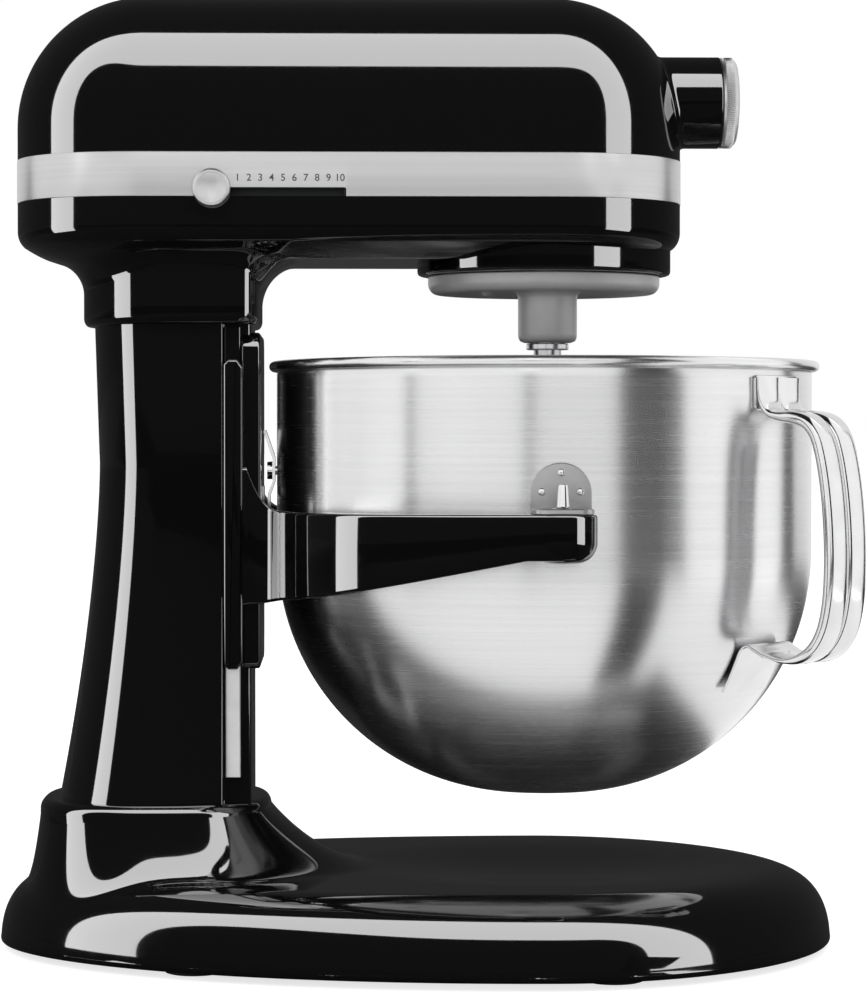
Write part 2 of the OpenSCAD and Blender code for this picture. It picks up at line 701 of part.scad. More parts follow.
module lever_knob() {
    color("#2a2b2d") translate([lift_x, lever_y, lift_z + lever_len]) rotate([-90, 0, 0]) {
        cylinder(r = 3, h = 9.5);
        translate([0, 0, 9.5]) rotate_extrude() polygon([[0, 0], [7, 0], [8, 1.5], [10.5, 6],
            [11, 14], [9.5, 20], [6, 23], [0, 24]]);
    }
}

// ---- Bowl ----

bowl_z = rim_z - bowl_h;                   // underside of the bowl
turn_r = 109;                              // radius of the curve below the wall
turn_z = bowl_z + turn_r + 0.1;            // where the straight wall ends
turn_x = bowl_r - turn_r;

// Outer profile of the bowl, from the underside's middle up to the rim, inset by t
function bowl_profile(t, top) = concat(
    [[0, bowl_z + t], [turn_x + 12, turn_z - sqrt(pow(turn_r - t, 2) - 144) + 0.1]],
    [for (a = [20:5:90]) [turn_x + (turn_r - t) * pow(sin(a), 0.98),
        turn_z - (turn_r - t) * pow(cos(a), 0.98)]],
    [[bowl_r - t, top]]);

module bowl() {
    color(steel) at_axis() rotate_extrude($fn = 128) union() {
        difference() {
            polygon(concat(bowl_profile(0, rim_z - bead_r), [[0, rim_z - bead_r]]));
            polygon(concat(bowl_profile(bowl_t, rim_z), [[0, rim_z]]));
        }
        translate([bowl_r + bead_r - bowl_t, rim_z - bead_r]) circle(r = bead_r, $fn = 24);
    }
}

lug_w = 25;                                // width of a locating bracket
lug_h = 21;
lug_t = 1.6;

module bowl_brackets() {
    color(steel) mirror_y() difference() {
        union() {
            intersection() {
                at_axis() translate([0, 0, arm_z]) tube(bowl_r + 0.05, bowl_r + 0.05 + lug_t, 40, $fn = 128);
                translate([axis_x, -bowl_r - 10, arm_z]) rotate([-90, 0, 0]) linear_extrude(40) {
                    translate([-lug_w / 2, -lug_h + lug_w / 2]) square([lug_w, lug_h - lug_w / 2]);
                    translate([0, -lug_h + lug_w / 2]) circle(r = lug_w / 2);
                }
            }
            intersection() {
                at_axis() translate([0, 0, arm_z]) tube(bowl_r + 0.05, pin_y + 9, 2.2, $fn = 128);
                translate([axis_x - lug_w / 2, -pin_y - 20, arm_z]) cube([lug_w, 40, 5]);
            }
        }
        translate([axis_x, -pin_y, arm_z - 1]) cylinder(r = pin_base_r + gap, h = 8);
    }
}

module rear_latch() {
    color(steel) difference() {
        translate([0, latch_w / 2, 0]) rotate([90, 0, 0]) linear_extrude(latch_w) polygon([
            [latch_x - 0.6, catch_z - 5], [latch_x + 0.6, catch_z - 5], [latch_x + 0.6, catch_z + 10],
            [latch_x + 2.7, catch_z + 16], [latch_x + 2.7, catch_z + 27], [latch_x - 1.4, catch_z + 39],
            [latch_x - 2.6, catch_z + 38.5], [latch_x + 1.5, catch_z + 26], [latch_x + 1.5, catch_z + 16],
            [latch_x - 0.6, catch_z + 11]]);
        translate([latch_x - 5, 0, catch_z + 21]) x_rod(2, 20);
    }
}

module latch_rivet() {
    color(steel) translate([0, 0, catch_z + 21]) {
        translate([latch_x, 0, 0]) x_rod(2, axis_x - bowl_r - latch_x - fit, $fn = 32);
        translate([latch_x - 0.9, 0, 0]) x_rod(4, 2.4, $fn = 32);
    }
}

// Handle: a strap with two rolled edges, bent in a vertical plane through the bowl's axis.
// Each station is [distance outside the wall, height over the rim, path's direction in degrees]
strap_t = 6;
tab_w = strap_w + 6;                       // width of the tabs that are welded to the bowl
handle_path = [[0.6, -9.8, -90], [0.7, -16.8, -88], [2.5, -22.2, -50], [7, -24.8, -12],
    [13.5, -25.4, -3], [19.4, -26.4, -16], [25, -30.2, -50], [28, -36.8, -71], [30.2, -47.8, -80],
    [31.8, -60.8, -84], [32.8, -73.8, -88], [33, -87.8, -91], [32.4, -101.8, -95],
    [30.4, -113.4, -108], [25.8, -122.4, -132], [18.3, -127.4, -163], [10.5, -128, 170],
    [3, -125.4, 150], [-4.4, -121.2, 196], [-7.4, -125.3, 242], [-11.4, -134.3, 243],
    [-15.6, -141.8, 238]];

// Section of the strap, flat at the tabs (roll = 0) and rolled along the grip (roll = 1)
function strap_section(w, t, roll) = let(h = w / 2, d = t * 0.32 * roll)
    [[-h, -t / 2 + d], [-h * 0.9, -t / 2], [-h * 0.35, -t / 2], [0, -t / 2 + d], [h * 0.35, -t / 2],
     [h * 0.9, -t / 2], [h, -t / 2 + d], [h, t / 2 - d], [h * 0.9, t / 2], [h * 0.35, t / 2],
     [0, t / 2 - d], [-h * 0.35, t / 2], [-h * 0.9, t / 2], [-h, t / 2 - d]];

function handle_ring(i) = let(
    s = [bowl_r + handle_path[i][0], rim_z + handle_path[i][1], handle_path[i][2]],
    n = len(handle_path),
    u = clamp01(min(i - 1, n - 2 - i) / 4),
    w = strap_w + (tab_w - strap_w) * pow(1 - u, 2),
    t = 1.4 + (strap_t - 1.4) * pow(u, 1.2),
    bend = i < 3 ? 1 : (i > n - 5 ? 0.9 : 0))
    [for (p = strap_section(w, t, u)) let(
        out = s[0] + p[1] * sin(-s[2]) + (i < 3 || i > n - 5 ? t / 2 + 0.1 : 0),
        z = s[1] + p[1] * cos(s[2]),
        r = bend > 0 ? out - p[0] * p[0] / (2 * s[0]) * bend : out)
        [r, p[0], z]];

module handle() {
    color(steel) at_axis() rotate([0, 0, handle_az])
        loft([for (i = [0:len(handle_path) - 1]) handle_ring(i)]);
}

module weld_studs() {
    color(steel) {
        mirror_y() for (p = [[-8, 9], [8, 9], [0, 17]])
            translate([axis_x + p[0], 0, arm_z + p[1]]) rotate([90, 0, 0])
                translate([0, 0, sqrt(pow(bowl_r + lug_t + 0.05, 2) - p[0] * p[0]) + 0.12])
                    cylinder(r = 1.2, h = 0.8, $fn = 24);
    }
}

// ---- Attachment hub ----

barrel_x0 = head_front_x - 19.5;
barrel_x1 = head_front_x + 17.9;
clamp_x = barrel_x1 - 8.4;                 // X of the clamp knob's screw
cap_t = 7.5;
hub_shaft_r = 6;
hub_bearing_r = 12.8;
mod = 2;
crown_r = crown_teeth * mod / 2;           // pitch radius of the crown gear
crown_r0 = crown_r - 4;                    // inner and outer radius of the crown's teeth
crown_r1 = crown_r + 4;
pinion_x = axis_x + crown_r0;              // rear face of the hub pinion
pinion_r = pinion_teeth * mod / 2;
crown_z = hub_z - pinion_r;                // height of the crown gear's pitch plane
crown_t = 8;
crown_root = crown_z - 2.6;                // top of the crown gear's plate, between its teeth

module hub_barrel() {
    color(gloss_black) translate([0, 0, hub_z]) difference() {
        union() {
            translate([barrel_x0, 0, 0]) x_rod(hub_r, barrel_x1 - barrel_x0);
            translate([barrel_x0, 0, 0]) x_rod(hub_r + 1.4, 3);
        }
        translate([barrel_x0 - 1, 0, 0]) x_rod(hub_bore_r, barrel_x1 - barrel_x0 + 2);
        translate([clamp_x, 0, 0]) rotate([-90, 0, 0]) cylinder(r = clamp_r, h = 2 * hub_r);
    }
}

// Cap that closes the hub: a plain bright ring, a knurled edge and a rounded face
module hub_cap() {
    color("#c9cacc") translate([barrel_x1, 0, hub_z]) rotate([90, 0, 90]) {
        cylinder(r = hub_r - 0.2, h = 1.4);
        translate([0, 0, 1.4]) linear_extrude(4.2) polygon([for (i = [0:119])
            polar(hub_r - (i % 2 == 0 ? 0.5 : 1), i * 3)]);
        translate([0, 0, 5.6]) rotate_extrude() polygon([[0, 0], [hub_r - 0.8, 0], [hub_r - 1.6, 1.4],
            [hub_r - 3.2, cap_t - 5.6], [0, cap_t - 5.6]]);
        translate([0, 0, -4]) tube(hub_bore_r - 2, hub_bore_r - gap / 2, 4);
    }
}

module hub_socket() {
    color(steel) translate([0, 0, hub_z]) difference() {
        translate([pinion_x + 8, 0, 0]) x_rod(hub_shaft_r, 30);
        translate([pinion_x + 22, -4, -4]) cube([30, 8, 8]);
    }
}

module hub_pinion() {
    color(steel) translate([pinion_x, 0, hub_z]) rotate([90, 0, 90]) linear_extrude(8)
        polygon([for (p = gear_points(pinion_teeth, mod, 2.5)) rot2(p, 90 + 180 / pinion_teeth)]);
}
function rot2(p, a) = [p[0] * cos(a) - p[1] * sin(a), p[0] * sin(a) + p[1] * cos(a)];

module hub_bearing() {
    color("#b08d57") translate([barrel_x0 + 2, 0, hub_z]) x_tube(hub_shaft_r + fit, hub_bearing_r, 9);
}

clamp_r = 4;

module hub_clamp_knob() {
    color("#2a2b2d") translate([clamp_x, 0, hub_z]) rotate([-90, 0, 0]) {
        translate([0, 0, hub_bore_r + 0.6]) cylinder(r = clamp_r - fit, h = 9);
        translate([0, 0, hub_bore_r + 9.6]) linear_extrude(11) polygon([for (i = [0:35])
            polar(9 + 1.2 * cos(i * 60), i * 10)]);
    }
}

// ---- Motor ----

red_mod = 1;
red_teeth = 38;
red_pinion_teeth = 10;
motor_z = hub_z - (red_teeth + red_pinion_teeth) * red_mod / 2;
motor_len = 98;
motor_x1 = axis_x - 77;                    // front of the can
motor_x0 = motor_x1 - motor_len;
shaft_r = 4;
gear_x = motor_x1 + 8;                     // rear face of the reduction gears
bearing_r = 9;
fan_r = 32;

module at_motor(x) { translate([x, 0, motor_z]) children(); }

module motor_can() {
    color("#54565a") at_motor(motor_x0) difference() {
        x_tube(motor_r - 2, motor_r, motor_x1 - motor_x0);
        for (a = [45:90:315]) rotate([a, 0, 0]) translate([12, -6, 0]) cube([18, 12, 60]);
    }
}

module field_magnets() {
    color("#303134") at_motor(motor_x0 + 18) difference() {
        x_tube(motor_r - 8, motor_r - 2, motor_len - 32);
        for (a = [0, 180]) rotate([a, 0, 0]) translate([-1, -8, 0]) cube([motor_len, 16, 60]);
    }
}

module motor_front_plate() {
    color("#8e9094") difference() {
        at_motor(motor_x1) x_rod(motor_r + 1, 6);
        at_motor(motor_x1 - 1) x_rod(bearing_r, 20);
        translate([motor_x1 - 1, 0, hub_z]) x_rod(bearing_r - 1.2, 20);
    }
}

module motor_rear_plate() {
    color("#8e9094") difference() {
        at_motor(motor_x0 - 5) x_rod(motor_r, 5);
        at_motor(motor_x0 - 6) x_rod(bearing_r, 20);
        for (a = [0:60:300]) at_motor(motor_x0 - 6) rotate([a, 0, 0]) translate([0, 0, motor_r - 13])
            x_rod(6, 20, $fn = 32);
    }
}

module motor_bearings() {
    color(steel) {
        at_motor(motor_x1) x_tube(shaft_r + fit, bearing_r, 6);
        at_motor(motor_x0 - 5) x_tube(shaft_r + fit, bearing_r, 5);
    }
}

module rotor_shaft() {
    color(steel) {
        at_motor(motor_x0 - 18) x_rod(shaft_r, gear_x - motor_x0 + 18);
        at_motor(gear_x - eps) x_rod(shaft_r - 1, 8 + eps);
    }
}

module rotor_core() {
    color("#8a5a34") at_motor(motor_x0 + 20) difference() {
        linear_rotor();
        x_rod(shaft_r, motor_len);
    }
}

// Laminated core with winding slots
module linear_rotor() {
    rotate([90, 0, 90]) linear_extrude(motor_len - 38) difference() {
        circle(r = motor_r - 9);
        for (a = [0:30:330]) rotate(a) translate([motor_r - 17, -1.5]) square([12, 3]);
    }
}

module commutator() {
    color("#b87333") at_motor(motor_x0 + 4) x_tube(shaft_r, 11, 11);
}

module cooling_fan() {
    color("#2a2b2d") at_motor(motor_x0 - 17) rotate([90, 0, 90]) difference() {
        union() {
            cylinder(r = fan_r, h = 2);
            linear_extrude(10) {
                circle(r = 9);
                for (a = [0:45:315]) rotate(a) translate([6, -1]) square([fan_r - 7, 2]);
            }
        }
        translate([0, 0, -1]) cylinder(r = shaft_r, h = 20);
    }
}

module x_gear(teeth, m, thin, h, turn, bore) {
    rotate([90, 0, 90]) linear_extrude(h) difference() {
        polygon([for (p = gear_points(teeth, m, thin)) rot2(p, turn)]);
        circle(r = bore);
    }
}

module motor_pinion() {
    color(steel) at_motor(gear_x)
        x_gear(red_pinion_teeth, red_mod, 1.2, 8, 90 + 180 / red_pinion_teeth, shaft_r - 1);
}

module reduction_gear() {
    color("#d8d2c0") translate([gear_x, 0, hub_z]) x_gear(red_teeth, red_mod, 0.4, 8, -90, lay_r);
}

lay_r = 4;

module layshaft() {
    color(steel) translate([motor_x1, 0, hub_z]) {
        x_rod(lay_r, axis_x - crown_r0 - motor_x1);
        translate([axis_x - crown_r1 - motor_x1, 0, 0])
            x_gear(pinion_teeth, mod, 2.5, 8, 90 + 180 / pinion_teeth, lay_r - 1);
    }
}

module lay_bearings() {
    color("#b08d57") translate([0, 0, hub_z]) {
        translate([motor_x1, 0, 0]) x_tube(lay_r + fit, bearing_r - 1.2, 6);
        translate([upright_x, 0, 0]) x_tube(lay_r + fit, bearing_r - 1.2, 8);
    }
}

// ---- Gear frame and planetary drive ----

upright_x = gear_x + 16;
frame_z = crease_z;                        // underside of the gear frame's plate
frame_t = 8;
frame_r = 52;                              // radius of the plate's round ends
frame_x = axis_x - 17;                     // centre of the plate's rear end
centre_r = 7;
centre_bearing_r = 13;
tower_h = crown_root - crown_t - 2.8 - frame_z;

module gear_frame() {
    color("#8e9094") difference() {
        union() {
            translate([0, 0, frame_z]) linear_extrude(frame_t)
                polygon([for (a = angles) capsule_pt(frame_x, axis_x, frame_r, frame_r, 2.15, a)]);
            translate([upright_x, -40, frame_z]) cube([8, 80, hub_z + 20.6 - frame_z]);
            mirror_y() translate([motor_x1 + 6, 26, frame_z])
                cube([upright_x - motor_x1 - 6, 8, motor_z + 10.6 - frame_z]);
            at_axis() translate([0, 0, frame_z]) cylinder(r = 19, h = tower_h);
        }
        at_axis() translate([0, 0, frame_z - 1]) cylinder(r = centre_bearing_r, h = tower_h + 2);
        translate([upright_x - 1, 0, hub_z]) x_rod(bearing_r - 1.2, 20);
        at_motor(motor_x1 + 5) x_rod(bearing_r, 40);
    }
}

module centre_shaft() {
    color(steel) at_axis() translate([0, 0, planet_z0 + 3])
        cylinder(r = centre_r, h = crown_z - 2 - planet_z0);
}

module centre_bearings() {
    color("#b08d57") at_axis() {
        translate([0, 0, frame_z]) tube(centre_r + fit, centre_bearing_r, 10);
        translate([0, 0, frame_z + tower_h - 10]) tube(centre_r + fit, centre_bearing_r, 10);
    }
}

module crown_gear() {
    color(steel) at_axis() {
        translate([0, 0, crown_root - crown_t]) tube(centre_r, crown_r1 + 0.5, crown_t);
        for (i = [0:crown_teeth - 1]) rotate([0, 0, i * 360 / crown_teeth]) translate([crown_r0, 0, 0])
            rotate([90, 0, 90]) linear_extrude(crown_r1 - crown_r0) polygon([[-1.6, crown_root - 1],
                [1.6, crown_root - 1], [1.2, crown_z], [0.55, crown_z + 1.7],
                [-0.55, crown_z + 1.7], [-1.2, crown_z]]);
    }
}

planet_z0 = 289.8;                         // underside of the planetary cover
planet_z1 = 297.6;
ring_teeth = planet_teeth + 2 * beater_offset / mod;
ring_house_r = planet_r + 4.8;
ring_z0 = planet_z1 + 2;

// Fixed ring round the planetary cover, that catches drips
module drip_ring() {
    color(gloss_black) at_axis() translate([0, 0, planet_z1 + 0.4])
        tube(planet_r - 1, ring_house_r, frame_z - planet_z1 - 0.4);
}

module ring_gear() {
    color(steel) at_axis() translate([0, 0, ring_z0]) linear_extrude(frame_z - ring_z0) difference() {
        circle(r = planet_r - 1);
        polygon([for (p = inner_gear_points(ring_teeth, mod, 0.35)) p]);
    }
}

// Outline of an internal gear's bore
function inner_gear_points(teeth, m, thin) = [for (i = [0:teeth - 1]) let(
    p = 360 / teeth, rp = teeth * m / 2, w = p / 4 + thin,
    ra = rp - 0.85 * m, rd = rp + 1.2 * m)
    each [polar(ra, (i + 0.5) * p - 1.45 * w), polar(rd, (i + 0.5) * p - 0.75 * w),
        polar(rd, (i + 0.5) * p + 0.75 * w), polar(ra, (i + 0.5) * p + 1.45 * w)]];

module at_beater() { translate([axis_x, -beater_offset, 0]) children(); }

module planet_pinion() {
    color(steel) at_beater() translate([0, 0, ring_z0 + 0.4]) linear_extrude(frame_z - ring_z0 - 1.4)
        difference() {
            polygon([for (p = gear_points(planet_teeth, mod, 1.2)) rot2(p, -90 + 180 / planet_teeth)]);
            circle(r = beater_r);
        }
}

boss_r = 12.9;
boss_z = 267.5;

module planetary_cover() {
    color("#8f9194") difference() {
        union() {
            at_axis() rotate_extrude() polygon([[0, planet_z0], [planet_r - 4, planet_z0],
                [planet_r - 1.6, planet_z0 + 1], [planet_r - 0.4, planet_z0 + 2.8],
                [planet_r, planet_z0 + 4.6], [planet_r, planet_z1], [0, planet_z1]]);
            at_beater() rotate_extrude() polygon([[0, boss_z], [boss_r - 3, boss_z],
                [boss_r - 1, boss_z + 1], [boss_r, boss_z + 3.5], [boss_r, planet_z0 - 5], [boss_r + 1, planet_z0 - 2],
                [boss_r + 3.5, planet_z0 + 1], [0, planet_z0 + 1]]);
        }
        at_beater() translate([0, 0, boss_z - 1]) cylinder(r = beater_r + fit, h = 60);
        at_axis() translate([0, 0, planet_z0 + 3]) cylinder(r = centre_r, h = 60);
    }
}

pin_z = 257;                               // height of the beater shaft's cross pin
beater_len = 23;                           // wall of the shaft below the pin's groove
groove = 2.5;                              // half height of the groove round the pin
beater_z0 = pin_z - groove - beater_len;

module beater_shaft() {
    color(steel) at_beater() difference() {
        union() {
            translate([0, 0, beater_z0]) cylinder(r = beater_r, h = beater_len);
            translate([0, 0, beater_z0 + 1]) cylinder(r = beater_r - 0.5, h = frame_z - beater_z0 - 3);
            translate([0, 0, pin_z + groove]) cylinder(r = beater_r, h = frame_z - 1 - pin_z - groove);
            translate([0, 0, boss_z - 3]) cylinder(r = 9.3, h = 2.7);
        }
        translate([0, 0, pin_z]) rotate([90, 0, 0]) cylinder(r = 2, h = 40, center = true);
    }
}

module beater_pin() {
    color(steel) at_beater() translate([0, 0, pin_z]) rotate([90, 0, 0])
        cylinder(r = 2, h = 2 * beater_r + 8, center = true, $fn = 32);
}

// Screws that pull the top cover down onto the housing, in posts inside the head
post_r = 4.5;
post_places = [[head_x0 - 23.4, head_w - 25], [head_x1 - 71.5, head_w - 10.5]];
screw_head_z = crease_z;                   // top of the screw heads, in their counterbores
post_z = crease_z - 20;                    // where the posts' cuts start, below the casting

module at_posts() { for (p = post_places) mirror_y() translate([p[0], p[1], 0]) children(); }

module cover_screws() {
    color(dark_steel) at_posts() {
        translate([0, 0, screw_head_z - 2.5]) cylinder(r = 3.6, h = 2.5, $fn = 32);
        translate([0, 0, screw_head_z - eps]) cylinder(r = 2, h = 44, $fn = 32);
    }
}

base_casting();
base_cover_plate();
rubber_feet();
column();
column_bolts();
guide_rails();
bowl_support();
locating_pins();
support_catch();
lift_yoke();
yoke_screws();
lift_shaft();
shaft_bush();
lift_crank();
lift_lever();
lever_knob();
bowl();
bowl_brackets();
rear_latch();
latch_rivet();
handle();
weld_studs();
head_housing();
neck_bolts();
trim_band();
slot_liner();
speed_knob();
speed_slider();
control_board();
top_cover();
cover_screws();
hub_barrel();
hub_cap();
hub_socket();
hub_pinion();
hub_bearing();
hub_clamp_knob();
motor_can();
field_magnets();
motor_front_plate();
motor_rear_plate();
motor_bearings();
rotor_shaft();
rotor_core();
commutator();
cooling_fan();
motor_pinion();
reduction_gear();
layshaft();
lay_bearings();
gear_frame();
centre_shaft();
crown_gear();
centre_bearings();
ring_gear();
drip_ring();
planet_pinion();
planetary_cover();
beater_shaft();
beater_pin();
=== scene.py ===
"""Bowl-lift stand mixer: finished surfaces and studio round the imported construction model.

Each class here is one sub-assembly of the mixer. It holds its sizes in millimetres as dataclass
fields, works its surfaces out with numpy, and dresses them. A surface stands for the construction
node of the same shape, which the frame then hides.
"""

import json
import logging
import math
from dataclasses import dataclass
from enum import Enum

import bmesh
import bpy
import numpy as np
from mathutils import Matrix, Vector


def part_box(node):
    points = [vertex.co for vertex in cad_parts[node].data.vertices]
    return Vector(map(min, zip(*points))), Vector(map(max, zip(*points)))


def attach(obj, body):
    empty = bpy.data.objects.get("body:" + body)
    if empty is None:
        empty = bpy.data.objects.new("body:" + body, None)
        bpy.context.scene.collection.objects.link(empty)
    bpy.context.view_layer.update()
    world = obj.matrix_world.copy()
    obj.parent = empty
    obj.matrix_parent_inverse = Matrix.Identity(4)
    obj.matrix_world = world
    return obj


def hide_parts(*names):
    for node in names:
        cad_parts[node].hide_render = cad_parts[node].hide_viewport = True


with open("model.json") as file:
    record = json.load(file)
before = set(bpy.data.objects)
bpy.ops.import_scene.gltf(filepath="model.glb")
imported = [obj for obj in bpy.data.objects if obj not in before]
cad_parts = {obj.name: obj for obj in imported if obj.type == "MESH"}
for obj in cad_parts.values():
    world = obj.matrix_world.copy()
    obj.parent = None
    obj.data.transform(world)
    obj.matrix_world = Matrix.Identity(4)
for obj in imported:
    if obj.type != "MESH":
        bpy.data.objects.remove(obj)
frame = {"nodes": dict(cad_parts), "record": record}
LOG = logging.getLogger("stand_mixer")
MM = 0.001
RIGHT_ANGLE = np.pi / 2
BOWL_X = 57.0
Array = np.ndarray
Place = tuple[float, float, float]


# ---------------------------------------------------------------- surfaces

def pts(*parts: Array | float) -> Array:
    """Stack coordinates, each an array or a number, into points."""
    return np.stack(np.broadcast_arrays(*parts), axis=-1)


def raised(outline: Array, z: float) -> Array:
    """Return a flat outline as a ring of points at one height."""
    return pts(outline[:, 0], outline[:, 1], z)


def quarter(steps: int) -> tuple[Array, Array]:
    """Return 1 - cos and 1 - sin of even turns through a right angle."""
    turn = np.linspace(0, RIGHT_ANGLE, steps)
    return 1 - np.cos(turn), 1 - np.sin(turn)


def full_turn(steps: int) -> Array:
    """Return even turns round a circle, in radians."""
    return np.linspace(0, 2 * np.pi, steps, endpoint=False)


def signed_power(value: Array, power: Array | float) -> Array:
    """Return |value| ** power with value's own sign."""
    return np.sign(value) * np.abs(value) ** power


def smooth(value: Array | float) -> Array:
    """Return the smooth step 3t^2 - 2t^3 of value, held between 0 and 1."""
    t = np.clip(value, 0.0, 1.0)
    return t * t * (3.0 - 2.0 * t)


def superellipse(angle: Array, rx: float, ry: float, power: float, cx: float = 0.0) -> Array:
    """Points of |x/rx|^power + |y/ry|^power = 1 about (cx, 0) at parameter angles in radians."""
    return pts(cx + rx * signed_power(np.cos(angle), 2 / power),
               ry * signed_power(np.sin(angle), 2 / power))


def level(x: Array, y: Array, cx: Array | float, rx: Array | float, ry: float,
          power: Array | float) -> Array:
    """Return 1 on the superellipse, less inside and more outside, growing along each ray."""
    return (np.abs((x - cx) / rx) ** power + np.abs(y / ry) ** power) ** (1 / power)


def resample(points: Array, count: int, closed: bool = False) -> Array:
    """Points evenly spaced by arc length along a polyline.

    Args:
        points: Rows of coordinates, close together.
        count: How many points to return.
        closed: Whether the line runs back to its start.

    Returns:
        An array of count rows.
    """
    line = np.vstack([points, points[:1]]) if closed else points
    along = np.concatenate([[0.0], np.cumsum(np.linalg.norm(np.diff(line, axis=0), axis=1))])
    at = np.linspace(0.0, along[-1], count, endpoint=not closed)
    return pts(*(np.interp(at, along, column) for column in line.T))


def spline(knots: Array, count: int) -> Array:
    """Return count points, evenly spaced, on the Catmull-Rom curve through knots.

    Args:
        knots: Rows of coordinates.
        count: How many points to return.

    Returns:
        An array of count rows.
    """
    knots = np.asarray(knots, float)
    padded = np.vstack([2 * knots[0] - knots[1], knots, 2 * knots[-1] - knots[-2]])
    t = np.linspace(0, len(knots) - 1 - 1e-9, 40 * len(knots))
    i = t.astype(int)
    f = (t - i)[:, None]
    p0, p1, p2, p3 = (padded[i + k] for k in range(4))
    curve = 0.5 * (2 * p1 + (p2 - p0) * f + (2 * p0 - 5 * p1 + 4 * p2 - p3) * f ** 2
                   + (3 * p1 - p0 - 3 * p2 + p3) * f ** 3)
    return resample(curve, count)


def round_corners(corners: Array, radii: Array | float, steps: int = 7, closed: bool = True) -> Array:
    """Polyline whose corners are circular arcs.

    Each arc touches both sides at radius / tan(half the corner's angle) from the corner, and its
    points turn evenly from one touching point to the other.

    Args:
        corners: Rows of (x, y).
        radii: One radius per corner, or one for all.
        steps: Points on each arc.
        closed: Whether the line runs back to its start; the ends of an open line stay sharp.

    Returns:
        An array of (x, y) rows.
    """
    corners = np.asarray(corners, float)
    radii = np.broadcast_to(np.asarray(radii, float), len(corners)).copy()
    back, ahead = (np.roll(corners, k, axis=0) - corners for k in (1, -1))
    if not closed:
        back[0], ahead[-1] = -ahead[0], -back[-1]
        radii[0] = radii[-1] = 0.0
    back /= np.linalg.norm(back, axis=1)[:, None]
    ahead /= np.linalg.norm(ahead, axis=1)[:, None]
    half = np.arccos(np.clip((back * ahead).sum(1), -1, 1)) / 2
    middle = back + ahead
    size = np.linalg.norm(middle, axis=1)[:, None]
    middle = np.where(size > 1e-6, middle / np.maximum(size, 1e-9), 0.0)
    centre = corners + middle * (radii / np.maximum(np.sin(half), 1e-3))[:, None]
    touch = (radii / np.maximum(np.tan(half), 1e-3))[:, None]
    first, last = corners + back * touch - centre, corners + ahead * touch - centre
    turn = np.arccos(np.clip((first * last).sum(1) / np.maximum(radii ** 2, 1e-9), -1, 1))
    f = np.linspace(0, 1, steps)[:, None, None]
    safe = np.maximum(np.sin(turn), 1e-6)[:, None]
    arc = (np.sin((1 - f) * turn[:, None]) * first + np.sin(f * turn[:, None]) * last) / safe
    arc = np.where((radii > 0)[:, None], arc, 0.0)
    return (centre + arc).transpose(1, 0, 2).reshape(-1, 2)


def box_outline(x0: float, x1: float, y0: float, y1: float, radii: Array | float,
                steps: int = 7) -> Array:
    """Rectangle with rounded corners, from (x0, y0) by (x1, y0) round to (x0, y1)."""
    return round_corners(np.array([[x0, y0], [x1, y0], [x1, y1], [x0, y1]]), radii, steps)


def normals_2d(line: Array, closed: bool = True) -> Array:
    """Unit normals of a line, to the right of its run, from the points on either side.

    Args:
        line: Rows of two coordinates.
        closed: Whether the line runs back to its start.

    Returns:
        One unit normal per row.
    """
    if closed:
        run = np.roll(line, -1, axis=0) - np.roll(line, 1, axis=0)
    else:
        run = np.gradient(line, axis=0)
    run /= np.maximum(np.linalg.norm(run, axis=1), 1e-9)[:, None]
    return pts(run[:, 1], -run[:, 0])


UPRIGHT = np.eye(3)
TO_PLUS_X = np.array([[0, 0, 1], [1, 0, 0], [0, 1, 0]])
TO_PLUS_Y = np.array([[1, 0, 0], [0, 0, 1], [0, -1, 0]])
TO_MINUS_Y = np.array([[1, 0, 0], [0, 0, -1], [0, 1, 0]])


